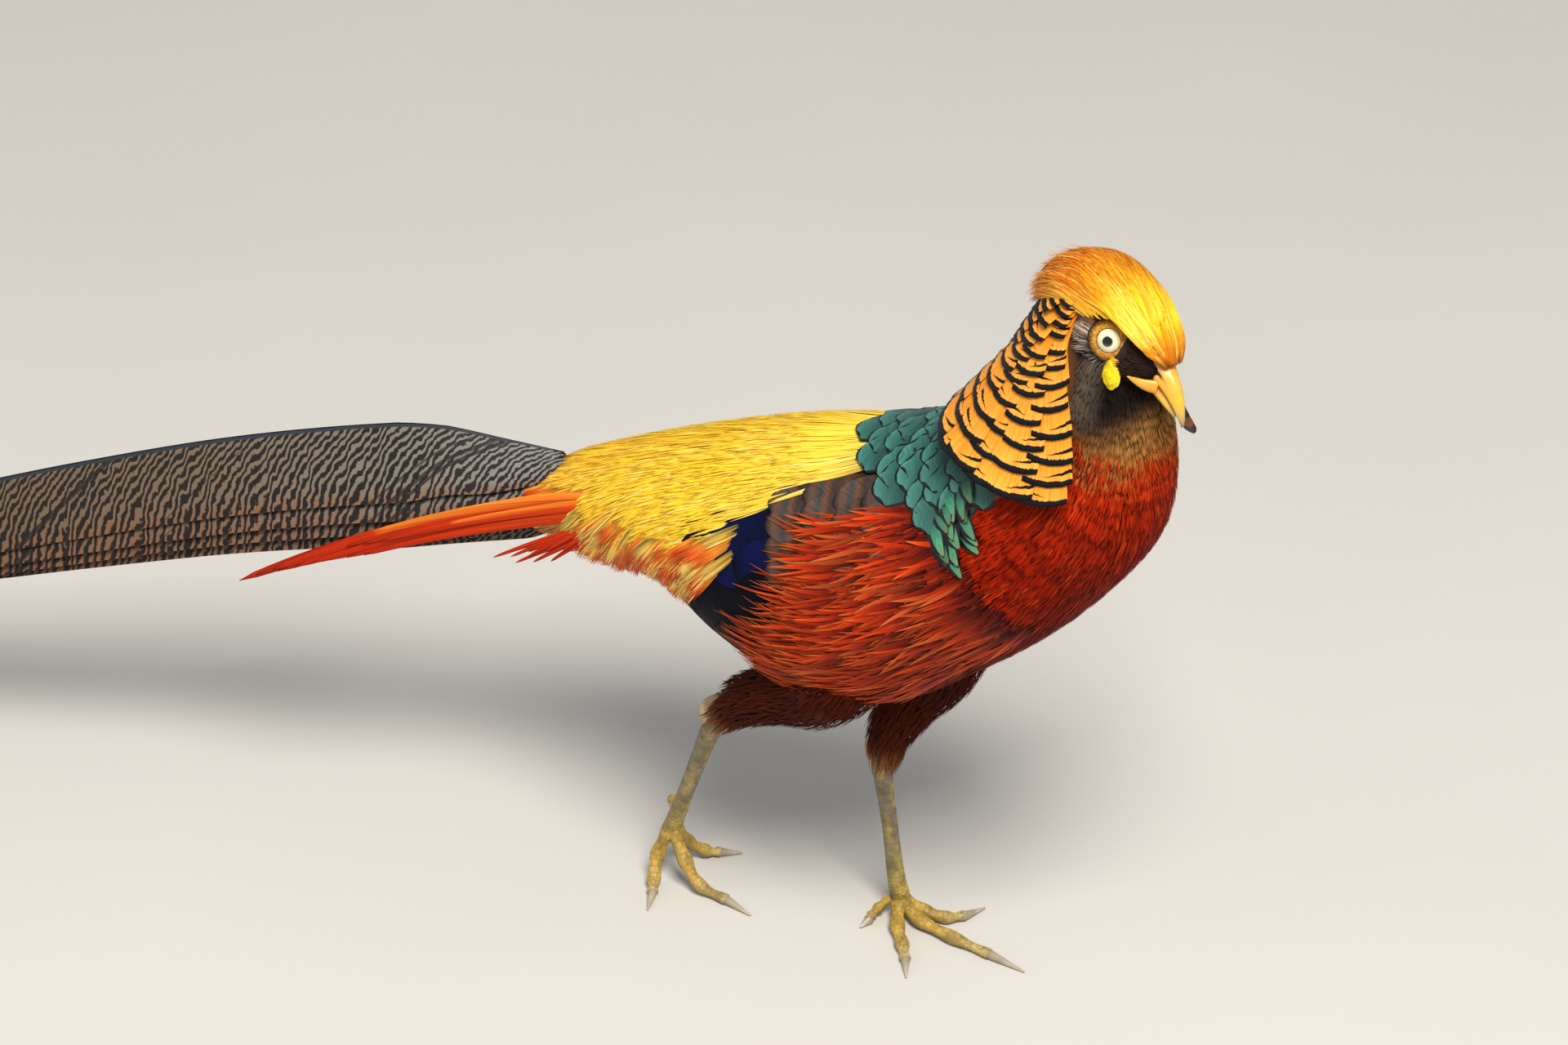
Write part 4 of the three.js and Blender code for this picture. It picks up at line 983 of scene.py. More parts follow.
# %% Cape down
rings, place, angle = rings_on(cape_form, 1.25, 4.9, 50, 72)
past = from_back(angle) - cape_reach(place, 0) + 15
sink = near(past, 0, 999, 16) * np.interp(place, [0.8, 3, 5.2], [24, 19, 8])
rings = cape_form(place, angle, -5.0 - sink)
down = over(np.zeros(rings.shape) + linear("#7A4410")[:3], "#3A2E26", near(past, -4, 999, 8))
solid("cape_down", [(rings, down)], down_plume)

# %% [markdown]
# ## Mantle
# Thirteen close tiers of rounded green feathers run over the shoulders, most of them under the cape.
# Scales drawn on one sheet would have a smooth edge against the rump. Laid feathers each throw a
# shadow on the next, and their ends make the edge.

# %% Mantle
MANTLE_TIERS = 13
MANTLE_HALF = 58      # degrees round the trunk to either side
SCALE_STEP = 16.0     # millimetres from one feather of a tier to the next
MANTLE_TOP = 10.0


def mantle_end(angle):
    """Where the mantle ends over the rump, as a place: further forward low on the shoulder."""
    return np.interp(np.abs(angle), [0, 6, 24, 42, 54, 70], [4.8, 4.88, 5.3, 6.0, 6.7, 7.1])


tufts = []
for tier in range(MANTLE_TIERS):
    arc = arc_length(trunk(6.0 + 0.25 * tier, np.linspace(-MANTLE_HALF, MANTLE_HALF, 40)))
    count = int(round(arc / SCALE_STEP))
    wide = arc / max(1, count) * 1.35
    shift = 0.75 if tier % 2 else 0.25
    angle = -MANTLE_HALF + 2 * MANTLE_HALF * (np.arange(count) + shift) / count
    level = mantle_end(angle) + 0.29 * tier + 0.95
    angle, level = angle[level < MANTLE_TOP], level[level < MANTLE_TOP]
    count = len(angle)
    tuft = laid(trunk, level, angle, rng.uniform(22, 24, count), wide, 1.1,
                2.3 + (np.arange(count) % 2) * 0.2,
                ((0, 0.5), (0.4, 1), (0.8, 1), (0.9, 0.95), (0.97, 0.82), (1, 0.7)),
                slant=angle * 0.12 + rng.uniform(-2, 2, count), rings=12, ring=SCALE_RING, bow=0.3,
                thick=0.3)
    green = run_of([(0, "#0A2622"), (0.5, "#1C4A42"), (0.8, "#346A60"), (1, "#48857A")],
                   tuft["along"])[None]
    tufts.append(tinted(tuft, green, root=0.9, vary=0.16))
coat("mantle_feathers", tufts, mantle_finish, ("mantle",), patch=0.05)

# %% [markdown]
# ## Shoulder feathers
# Low on the shoulder the green feathers are longer, narrower and paler, with rusty tips, and they
# hang down over the scarlet. One more row of scales would end too neatly, so these are pointed
# feathers of their own, laid nearly straight down.

# %% Shoulder feathers
tufts = []
for tier in range(3):
    for side in (-1, 1):
        angle = side * (36 + 3.0 * (tier % 2) + 5.5 * np.arange(6))
        count = len(angle)
        level = 7.05 + 0.27 * tier - 0.004 * (np.abs(angle) - 37)
        tuft = laid(trunk, level, angle, rng.uniform(19, 24, count), rng.uniform(7.5, 9.5, count), 0.8,
                    rng.uniform(2.6, 3.6, count) + 0.3 * tier,
                    ((0, 0.5), (0.4, 1), (0.7, 0.85), (0.88, 0.5), (1, 0.1)),
                    slant=side * (108 + rng.uniform(-8, 8, count)), rings=9, ring=BROAD_RING,
                    bow=0.06, thick=0.28)
        pale = run_of([(0, "#0E2A22"), (0.4, "#1C5442"), (0.7, "#3E8464"), (0.9, "#5C8A5E"),
                       (1, "#8A4A24")], tuft["along"])[None]
        tufts.append(tinted(tuft, pale, root=0.9, vary=0.28))
coat("shoulder_feathers", tufts, shoulder_finish, patch=0.05)

# %% [markdown]
# ## Rump
# The rump is a cape of hair-fine golden hackles that fall over the wings. Fewer, broader feathers
# would be cheaper, but the rump's silk comes from barbs that don't cling together. So each hackle is
# three strands, and a strand has three sides, the fewest that close.

# %% Rump hackles
RUMP_EDGE = ([0, 1.5, 2.4, 3.3, 4.3, 5.4, 6.5], [104, 99, 100, 82, 55, 41, 37])
STRAND = ((0, 0.8), (0.6, 1), (1, 0.12))


def rump_fall(place, angle):
    """Degrees by which rump feathers hang down from straight back: most at the lower edge."""
    low = np.clip(np.abs(angle) / 100, 0, 1)
    return np.sign(angle) * (3 + 60 * low**1.3 * np.clip((place + 0.6) / 2.6, 0.4, 1))


place, angle = scattered(trunk, 0.2, 6.9, -104, 104, (2.9, 2.7), jitter=0.9)
limit = np.interp(place, *RUMP_EDGE) - 12
keep = (np.abs(angle) < limit) & (place < mantle_end(angle) + 0.45)
place, angle, limit = place[keep], angle[keep], limit[keep]
s, a, x, number = fans(trunk, place, angle, 3, 1.2)
n = len(s)
edge = np.clip((np.abs(angle) - limit + 12) / 12, 0, 1)[number]
rump = laid(trunk, s, a, rng.uniform(28, 40, n), rng.uniform(0.7, 1.1, n), rng.uniform(0, 0.8, n),
            rng.uniform(2.0, 2.9, n), STRAND, slant=rump_fall(s, a) + rng.uniform(-3, 3, n),
            bend=rng.uniform(-3, 3, n))
gold = run_of([(-0.5, "#F0B43C"), (1.0, "#F8C632"), (3.0, "#FCD030"), (5.2, "#FDD848"),
               (6.5, "#FBE084")], rump["path"][..., 0])
gold = over(gold, "#8A7430", edge[:, None] * (1 - rump["along"][None]) * 0.9)
gold = over(gold, "#FBE58C", (rng.uniform(0, 1, n) < 0.12)[:, None] * 0.45 * np.ones(6))
tinted(rump, gold, root=0.88, vary=0.07)
coat("rump_hackles", [rump], rump_silk, ("rump",), patch=0.005)

# %% [markdown]
# ## Rump locks
# Where the hackles end over the wing and the tail's base they break up into locks: brown-gold at the
# root, and orange-red, straw or sooty at the tip. One colour for the whole edge would look dyed, so
# more than half of each strand's colour comes from its lock and the rest is its own.

# %% Rump locks
place, angle = scattered(trunk, 0.1, 3.7, -104, 104, (4.4, 4.4), jitter=0.7)
limit = np.interp(place, *RUMP_EDGE)
band = np.interp(place, [0, 1.2, 2.4, 3.4, 4.6], [99, 46, 32, 20, 10])
keep = (np.abs(angle) < limit - 6) & (np.abs(angle) > limit - band)
place, angle = place[keep], angle[keep]
s, a, x, number = fans(trunk, place, angle, 7, 1.7)
n = len(s)
kind = 0.6 * rng.uniform(0, 1, len(place))[number] + 0.4 * rng.uniform(0, 1, n)
length = rng.uniform(24, 36, len(place))[number] + rng.uniform(-3, 3, n)
wide = rng.uniform(0.6, 1.0, n)
high = rng.uniform(3.2, 5.0, len(place))[number] + rng.uniform(-0.3, 0.5, n) + 1.3 * np.clip(1.5 - s, 0, 1)
lead = rump_fall(s, a) * 1.15 + x * 3 + rng.uniform(-9, 9, len(place))[number]
locks = laid(trunk, s, a, length, wide, 1.0, high, ((0, 0.8), (0.6, 1), (1, 0.1)), slant=lead, bend=-x * 4)
along = locks["along"][None, :] * np.ones((n, 1))
straw = run_of([(0, "#A07A20"), (0.4, "#DCA830"), (1, "#F4D070")], along)
flame = run_of([(0, "#9A6A1E"), (0.4, "#DE8A26"), (0.75, "#D94A12"), (1, "#CC3A10")], along)
sooty = run_of([(0, "#4A4420"), (0.5, "#8E7A34"), (1, "#D8B860")], along)
color = over(straw, flame, (kind < 0.56)[:, None] * np.ones(6))
color = over(color, sooty, (kind > 0.84)[:, None] * np.ones(6))
tinted(locks, color, root=0.4, vary=0.3)
coat("rump_locks", [locks], rump_silk)

# %% [markdown]
# ## Wings
# The folded wing shows only between rump and flank: rufous scapulars crossed by dark bars, deep blue
# tertials, and black primaries below. It could be one curved panel, but from behind and from the
# left more of it shows, so each group is rows of whole vanes.

# %% Wings
# Each row: place, degrees of the first feather, degrees to the next, feathers, length, width, slant.
WING_ROWS = {
    "scapulars": [(6.9, 40, 9, 5, 32, 15, 10), (6.3, 38, 9, 5, 32, 15, 10), (5.7, 36, 9, 6, 32, 15, 8),
                  (5.1, 40, 9, 4, 32, 15, 8)],
    "tertials": [(5.5, 59, 11, 5, 62, 24, 14), (4.8, 50, 12, 5, 58, 24, 12), (4.2, 54, 12, 4, 50, 22, 10)],
    "primaries": [(4.6, 98, 12, 3, 56, 20, 6), (4.1, 94, 12, 4, 52, 20, 4), (3.7, 90, 12, 5, 42, 18, 2),
                  (3.2, 92, 12, 5, 34, 18, 2)],
}
WING_COLORS = {
    "scapulars": [(0, "#1E1814"), (0.35, "#543A2C"), (0.5, "#22292C"), (0.62, "#64432F"),
                  (0.74, "#2A3C42"), (0.86, "#6E4A36"), (0.94, "#243034"), (1, "#4E382C")],
    "tertials": [(0, "#05060C"), (0.5, "#080C2C"), (0.85, "#0B1142"), (1, "#05071A")],
    "primaries": [(0, "#05060A"), (0.5, "#080A12"), (1, "#04050A")],
}
BLUE_ENDS = 76  # degrees from the back below which the tertials are black
for word, side in (("left", 1), ("right", -1)):
    for group, rows in WING_ROWS.items():
        blue = group == "tertials"
        tufts = []
        for level, first, step, count, length, width, slant in rows:
            angle = side * (first + step * np.arange(count))
            tuft = laid(trunk, np.full(count, level), angle, length, width, 0.4,
                        1.9 + 0.4 * (np.arange(count) % 2),
                        ((0, 0.5), (0.5, 1), (0.8, 0.95), (0.93, 0.7), (1, 0.4)),
                        slant=side * slant, rings=12, ring=BROAD_RING, bow=0.1, thick=0.3)
            shade = run_of(WING_COLORS[group], tuft["along"])[None] + np.zeros((count, 12, 3))
            if blue:
                shade = over(shade, "#050608", near(np.abs(tuft["path"][..., 1]), BLUE_ENDS, 999, 10) * 0.9)
            tufts.append(tinted(tuft, shade, root=0.8, vary=0.15))
        coat(group + "_" + word, tufts, wing_plume,
             ("wing_" + word,) if blue else (), patch=0.12)

# %% [markdown]
# ## Flanks
# Over the wing's lower edge stick out the flank's pointed scarlet lances. An even coat of them would
# look like fur. They are laid in three layers at random: dark and close, then bright and higher, and
# a few that stand clear and throw shadows on the rest. The darkness of the lower layers is painted
# shade.

# %% Flank lances
# Each layer: lances, height of the root, height of the tip, width as a factor, brightness as painted
# shade, darkest for the lowest layer.
LANCE_LAYERS = ((1100, 0.9, 1.9, 3.4, 0.3), (1150, 1.4, 3.6, 1.8, 0.8), (420, 1.8, 5.2, 2.4, 1.1))
for word, side in (("left", 1), ("right", -1)):
    tufts = []
    for count, lows, highs, widths, painted_light in LANCE_LAYERS:
        place = rng.uniform(4.0, 7.5, count)
        angle = rng.uniform(50, 150, count)
        past_wing = place > 4.2 + np.clip((104 - angle) / 60, 0, 1) * 1.5
        keep = past_wing & (angle > 52 + 18 * (place > 7))
        place, angle = place[keep], side * angle[keep]
        n = len(place)
        free = np.clip((7.2 - place) / 2.2, 0.25, 1)
        lances = laid(trunk, place, angle, rng.uniform(24, 42, n), rng.uniform(0.7, 1.2, n) * widths, lows,
                      lows + (highs - lows) * free * rng.uniform(0.6, 1, n),
                      ((0, 0.7), (0.3, 1), (0.7, 0.6), (1, 0.05)),
                      slant=-side * 3 + rng.uniform(-12, 12, n), bend=rng.uniform(-12, 12, n), rings=7,
                      ring=FLAT_RING, thick=0.3)
        along = lances["along"][None, :] * np.ones((n, 1))
        red = run_of([(0, "#6A1204"), (0.5, "#9A2205"), (0.85, "#C03C0A"), (1, "#D8702E")], along)
        red = over(red, "#B06430", (rng.uniform(0, 1, n) < 0.15)[:, None] * 0.6 * along)
        # The layer's factor darkens the lower lances: painted shade.
        tufts.append(tinted(lances, red * painted_light, root=0.22, vary=0.4))
    coat("flank_lances_" + word, tufts, lance_plume, ("flank_" + word,), patch=0.02)

# %% [markdown]
# ## Crest
# The crest is long silk that runs from the forehead over the crown to the nape: red-gold at the
# bill, bright yellow over the eyes, and orange behind. A smooth form with a silk shader would have a
# hard outline. Here strands keep within about a millimetre of one surface, over a core of the same
# colour darkened as painted shade, and a few wisps leave it at the nape. Strands that would cross an
# eye are left out.

# %% Eyes' places and the crest's pigment
EYE_AT = np.array([2.0, 11.6, 6.0])


def eye_axes(side):
    """The way an eye looks, and two directions square to it."""
    gaze = unit(np.array([0.46, side * 0.78, 0.42]))
    up = unit(np.array([0.0, 0.0, 1.0]) - gaze * gaze[2])
    return gaze, up, np.cross(gaze, up) * side


def beside_eye(points):
    """The distance in millimetres from the nearer eye's line of sight."""
    found = []
    for side in (1, -1):
        apart = (points - HEAD_AT) @ HEAD_TURN - EYE_AT * [1, side, 1]
        gaze = eye_axes(side)[0]
        across = apart - (apart @ gaze)[..., None] * gaze
        found.append(np.linalg.norm(across, axis=-1) + 99 * (apart @ gaze < -6))
    return np.minimum(*found)


def crest_pigment(place, angle):
    """Red-gold at the forehead, yellow in front, orange on the crown, pale at the lower edge. The
    brightest yellow in front is partly the crest's own and partly a painted highlight.
    """
    # The lemon band from place 3.5 to 4.2 is partly a painted highlight.
    color = run_of([(-0.5, "#E8A030"), (0.6, "#DE7E12"), (1.8, "#DC7608"), (2.8, "#EE9C0C"),
                    (3.5, "#FCCC20"), (4.2, "#FFDA30"), (4.7, "#F4AC14"), (5.2, "#DE8606"),
                    (6.2, "#C46204")], place)
    return over(color, "#F9C640", near(np.abs(angle), 76, 400, 24) * near(place, 1.2, 4.0, 1.0) * 0.7)


print("crown orange", crest_pigment(np.array(2.0), np.array(0.0)).round(3))

# %% Crest strands
STRANDS, WISPS = 4250, 420
CREST_REACH = ([0.9, 2.0, 2.4, 2.9, 3.4, 4.0, 4.7, 5.5, 6.2], [104, 106, 102, 86, 76, 63, 58, 56, 74])
SILK = ((0, 0.7), (0.5, 1), (1, 0.1))
LIDS_END = 8.9  # millimetres from the middle of an eye
n = STRANDS
place = rng.uniform(0.9, 6.2, n)
angle = rng.uniform(-1, 1, n) * np.interp(place, *CREST_REACH)
lock = 0.5 * np.sin(angle * 0.55 + place) + 0.5 * np.sin(angle * 0.23 - 2 * place)
length = rng.uniform(24, 42, n) * np.interp(place, [0.5, 1.6, 3], [0.5, 0.75, 1])
crest = laid(crest_form, place, angle, length, rng.uniform(0.55, 1.0, n), rng.uniform(-1.4, -0.5, n),
             rng.uniform(-0.5, 0.9, n) + 0.25 * lock, SILK, slant=rng.uniform(-3, 3, n) + 3 * lock,
             bend=rng.uniform(-5, 5, n), rings=8, thick=0.12)
n = WISPS
wisp = laid(crest_form, rng.uniform(0.9, 2.3, n), rng.uniform(-104, 104, n), rng.uniform(24, 34, n), 0.45,
            -0.4, rng.uniform(0.3, 4.5, n), SILK, slant=rng.uniform(-8, 8, n),
            bend=rng.uniform(-10, 10, n), rings=8, thick=0.12, rise=2.6)
tufts = []
for tuft, shift in ((crest, 0.9 * lock), (wisp, 0.0)):
    n = len(tuft["root"])
    color = crest_pigment(tuft["path"][..., 0], tuft["path"][..., 1])
    pick = rng.uniform(0, 1, n)[:, None] * np.ones(8)
    color = over(color, "#FFDC6A", (pick < 0.16) * 0.5)
    color = over(color, "#C25E06", (pick > 0.84) * 0.5)
    tinted(tuft, color, root=0.8, vary=0.2, tones=shift + rng.uniform(-0.8, 0.8, n))
    tufts.append(picked(tuft, beside_eye(tuft["points"]).min((1, 2)) > LIDS_END))
rings, place, angle = rings_on(crest_form, 0.1, 6.1, 60, 48, -1.6)
past = from_back(angle) - np.interp(place, *CREST_REACH)
sink = 13 * near(past, -3, 999, 12) * np.interp(place, [0, 1, 2, 4.4, 5.4, 6.1], [0.1, 0.5, 1, 1, 0.5, 0.15])
rings = crest_form(place, angle, -1.6 - sink - 6 * near(beside_eye(rings), -9, 9, 3) * (place < 5))
# The core is darker than the strands: painted shade between them.
solid("crest_core", [(rings, crest_pigment(place, angle) * 0.8)], crest_silk)
coat("crest_silk", tufts, crest_silk, ("crest",), patch=0.004)

# %% [markdown]
# ## Face
# The face is covered in hair-like feathers a few millimetres long: black on the lores and chin,
# silver-streaked behind the gape, grey-brown over the ear. They could lie straight back, but real
# ones part round the eye, so each is turned away from it the more, the nearer it stands. Longer ones
# cover the ear.

# %% Face
FACE_HAIRS, EAR_HAIRS = 6000, 1700
EYE_PLACE, EYE_ANGLE = 3.2, 66.0
BARE = 8.2  # millimetres round the eye without feathers


def face_pigment(place, angle):
    """Named regions laid over each other: ear, lore, cheek and chin."""
    low = np.abs(angle)
    color = run_of([(0, "#94867A"), (1.6, "#86766A"), (2.6, "#5A4A40"), (3.4, "#3A2A20"),
                    (6, "#1E1410")], place)
    color = over(color, "#A0602E", near(place, 0.8, 2.8, 0.8) * near(low, 40, 72, 14) * 0.8)
    color = over(color, "#17100D", near(place, 2.4, 6.6, 0.8) * near(low, 104, 150, 14))
    return over(color, "#1C1410", near(low, 138, 400, 16))


n = FACE_HAIRS
place = rng.uniform(0.4, 5.95, n)
angle = (rng.uniform(46, 314, n) + 180) % 360 - 180
far = beside_eye(skull(place, angle, 0.5))
keep = far > BARE
place, angle, far = place[keep], angle[keep], far[keep]
n = len(place)
ahead, below = (place - EYE_PLACE) * 11.0, (np.abs(angle) - EYE_ANGLE) * 0.27
part = np.degrees(np.arctan2(below, -ahead)) * np.exp(-((far - BARE) / 5.0).clip(0) ** 2) * 0.6
face = laid(skull, place, angle, rng.uniform(4.5, 8.5, n), rng.uniform(0.4, 0.7, n), -0.3,
            rng.uniform(0.4, 1.7, n), ((0, 0.9), (0.5, 1), (1, 0.2)),
            slant=np.sign(angle) * part + rng.uniform(-13, 13, n), bend=rng.uniform(-14, 14, n), rings=4)
tint = face_pigment(face["path"][..., 0], face["path"][..., 1])
silver = (rng.uniform(0, 1, n) < 0.5) * near(np.abs(angle), 92, 130, 8) * near(place, 1.0, 4.2, 0.5)
tint = over(tint, "#D8D2CC", silver[:, None] * face["along"][None] * 0.95)
tinted(face, tint, root=0.5, vary=0.35)
n = EAR_HAIRS
place, angle = rng.uniform(0.5, 2.7, n), rng.uniform(60, 112, n) * rng.choice([-1, 1], n)
ear = laid(skull, place, angle, rng.uniform(7, 13, n), rng.uniform(0.45, 0.75, n), -0.2,
           rng.uniform(1.0, 4.5, n), ((0, 0.9), (0.5, 1), (1, 0.1)),
           slant=np.sign(angle) * (np.abs(angle) - 74) * 0.7 + rng.uniform(-12, 12, n),
           bend=rng.uniform(-12, 12, n), thick=0.12, rise=1.7)
tint = run_of([(60, "#C08050"), (72, "#CBB49C"), (100, "#B4A08C"), (116, "#6E5E50")], np.abs(angle))
tint = over(tint[:, None] + np.zeros((n, 6, 3)), "#CFC6BE",
            (rng.uniform(0, 1, n) < 0.3)[:, None] * ear["along"][None] * 0.8)
tinted(ear, tint, root=0.75, vary=0.3)
coat("face_down", [face, ear], down_plume, patch=0.006)

# %% [markdown]
# ## Bill
# The bill is horn over bone: the upper half hooks down over the lower. It is orange where it leaves
# the feathers, yellow along its length and grey-brown at the tip. The nostril is a slit under a
# small swelling. It could be cut out, but the edge would be too sharp for grown horn, so it is
# pressed into the surface by a height that falls off round it. The gape runs back to a soft corner.

# %% Bill


def nostril_press(place, angle):
    """A slit pressed in under a swelling: one narrow hollow less one wider bump above it."""
    low = from_back(angle)
    hollow = np.exp(-((place - 1.45) / 0.42) ** 2 - ((low - 68) / 9) ** 2)
    bump = np.exp(-((place - 1.3) / 0.6) ** 2 - ((low - 48) / 12) ** 2)
    return -1.7 * hollow + 0.6 * bump


rings, place, angle = rings_on(upper_bill, 0.0, 5.0, 120, 72, nostril_press)
press = nostril_press(place, angle)
horn = run_of([(0, "#E58420"), (1.2, "#EE9A34"), (2.2, "#EEAE3A"), (3.4, "#E6B53E"), (4.2, "#B99C62"),
               (5, "#7E7466")], place)
# The pressed hollow is darkened: painted shade in the nostril.
horn = over(horn, "#3A2010", np.clip(-press / 1.4, 0, 1) ** 2)
horn = over(horn, "#F4CDA0", np.clip(press / 0.6, 0, 1) * 0.6)
corners = []
for side in (1, -1):
    gape = tube([[26.0, side * 3.6, -2.2], [23.0, side * 6.8, -2.2], [19.5, side * 9.8, -1.8],
                 [16.5, side * 11.9, -1.3]], [[3.2, 1.7], [2.7, 1.6], [1.5, 1.1], [0.3, 0.3]], (0, 0, 1))
    corner, along, around = rings_on(gape, 0.0, 3.0, 40, 24)
    soft = run_of([(0, "#F0A236"), (1.5, "#EFA83A"), (3, "#D99A3C")], along)
    corners.append((from_head(corner), soft))
solid("bill_upper_horn", [(rings, horn)] + corners, bill_keratin, ("bill_upper",))
rings, place, angle = rings_on(lower_bill, 0.0, 4.0, 60, 48)
horn = run_of([(0, "#E8861F"), (1.5, "#EFA536"), (3, "#E8BC4C"), (4, "#B8A27A")], place)
solid("bill_lower_horn", [(rings, horn)], bill_keratin, ("bill_lower",))

# %% [markdown]
# ## Eyes
# The eye is a ball with a cream iris and a round pupil. It is turned outwards, forwards and a
# little up. A flat disc for the iris would lose its place from other sides, so the iris is pigment on
# the ball. The lids are a ring swept round it, whose section rises to a rim and falls to the face.
# The wattle below is a flat drop with a lumpy outline.

# %% Eyes, lids and wattles
EYE_R = 5.6
# The section of the lids: distance from the line of sight, and height along it.
LID = np.array([[4.7, 2.2], [4.85, 2.95], [5.15, 3.35], [5.7, 3.3], [6.6, 2.8], [7.6, 2.1], [8.6, 1.3],
                [9.3, 0.3], [8.6, -0.8], [6.6, -0.2], [5.0, 0.8]])
WATTLE_AT, WATTLE_HALF = np.array([10.3, 14.0, -4.6]), (4.5, 2.3, 6.8)
polar = np.linspace(0.001, np.pi * 0.99, 90)[:, None]


def ball_point(polar, round_):
    """A point of a unit sphere: how far ahead, up, and along its axis, for the angle from the axis
    and the angle round it."""
    return np.sin(polar) * np.cos(round_), np.sin(polar) * np.sin(round_), np.cos(polar) + 0 * round_


for word, side in (("left", 1), ("right", -1)):
    gaze, up, ahead = eye_axes(side)
    middle = EYE_AT * [1, side, 1]
    round_ = (np.arange(64) * 2 * np.pi / 64)[None, :] * side
    across, tall, out = ball_point(polar, round_)
    ball = middle + EYE_R * (out[..., None] * gaze + across[..., None] * ahead + tall[..., None] * up)
    iris = run_of([(0, "#020202"), (0.355, "#040404"), (0.375, "#8E8A60"), (0.45, "#E2E0B4"),
                   (0.95, "#EDEBC8"), (1.06, "#8A7A50"), (1.12, "#1A120C"), (1.3, "#120C08"),
                   (3.2, "#120C08")], polar + np.zeros_like(round_))
    solid("eyeball_" + word, [(from_head(ball), iris)], wet_eye, ("eye_" + word,))
    turn = (np.arange(120) * 2 * np.pi / 120)[:, None] * -side
    bumps = 0.12 * np.sin(11 * turn + 4 * LID[:, 0]) * np.sin(19 * turn - 3 * LID[:, 1])
    wide, high = LID[:, 0] + bumps, LID[:, 1] + bumps
    lid = middle + ((wide * np.cos(turn))[..., None] * ahead + (wide * np.sin(turn))[..., None] * up
                    + high[..., None] * gaze)
    skin = run_of([(4.7, "#0E0805"), (4.95, "#140C07"), (5.3, "#BC7414"), (6.2, "#E0981E"),
                   (7.2, "#C08C2A"), (8.2, "#6A4A20"), (9.4, "#2E2016")], LID[:, 0] + 5 * np.abs(bumps))
    solid("eye_ring_" + word, [(from_head(lid), skin)], bare_skin, loop=True)
    lump = 1 + 0.05 * np.sin(5 * round_ + 7 * polar) * np.sin(polar) + 0.04 * np.sin(11 * polar)
    across, tall, out = ball_point(polar, -round_)
    top = np.clip(tall, 0, 1)
    drop = WATTLE_AT * [1, side, 1] + np.stack([
        WATTLE_HALF[0] * lump * across * (1 - 0.22 * tall) - 1.6 * top**2,
        side * (WATTLE_HALF[1] * lump * out - 0.7 * top), WATTLE_HALF[2] * lump * tall], -1)
    flap = run_of([(-11, "#EFC80A"), (-5, "#F8DC14"), (0, "#F2CC16"), (2.2, "#DF9E20")], drop[..., 2])
    solid("face_wattle_" + word, [(from_head(drop), flap)], wattle_flesh, ("wattle_" + word,))

# %% [markdown]
# ## Tail
# The tail is more than twice as long as the body. Its middle pair makes a roof, and the shorter
# pairs lie below it, each lower and further out. They could be copies of one feather, but they droop
# by different amounts, so each is swept along the tail's own line.

# %% Tail
TAIL_TURN = math.radians(17)
TAIL_BACK = np.array([-math.cos(TAIL_TURN), -math.sin(TAIL_TURN), 0])
TAIL_LEFT = np.array([-math.sin(TAIL_TURN), math.cos(TAIL_TURN), 0])
TAIL_ROOT = np.array([-152.0, -10.0, 178.0])
TAIL_LENGTH = 640.0
TAIL_DROP = np.array([[0], [8], [22], [42], [65], [88], [110], [131], [150], [166]], float)
TAIL_BAR_STEP = 3.9
STATIONS = 90
# Each pair: share of the length, the ridge's place out and up, the lower edge's place out and up.
TAIL_PAIRS = [(1, (0.6, 36), (19, 8)), (0.93, (1.6, 27), (20.5, -1)), (0.8, (3.2, 16), (19.5, -9)),
              (0.64, (4.5, 6), (17.5, -17)), (0.47, (5, -2), (14, -21))]
TAIL_RING = (np.concatenate([np.linspace(-1, 1, 13), np.linspace(0.8, -0.8, 5)]),
             np.concatenate([1 - np.linspace(-1, 1, 13)**2, -0.4 * (1 - np.linspace(0.8, -0.8, 5)**2)]))


def tail_point(along, out, rise):
    """A point of the tail: back along its line, out to the side, and up from its drooping ridge."""
    along, out, rise = np.broadcast_arrays(along, out, rise)
    drop = rows_at(TAIL_DROP, along / TAIL_LENGTH * 9)[..., 0]
    flat = TAIL_ROOT + along[..., None] * TAIL_BACK + out[..., None] * TAIL_LEFT
    flat[..., 2] = TAIL_ROOT[2] + rise - drop
    return flat


def free_vane(points, width, face, across, up, thick):
    """A feather through a row of points: rings square to its line, its face turned one way."""
    along = unit(np.gradient(points, axis=0))
    out = unit(face - (along @ face)[:, None] * along)
    side = np.cross(out, along)
    return (points[:, None] + side[:, None] * (width[:, None, None] / 2 * across[None, :, None])
            + out[:, None] * (thick[:, None, None] * up[None, :, None]))


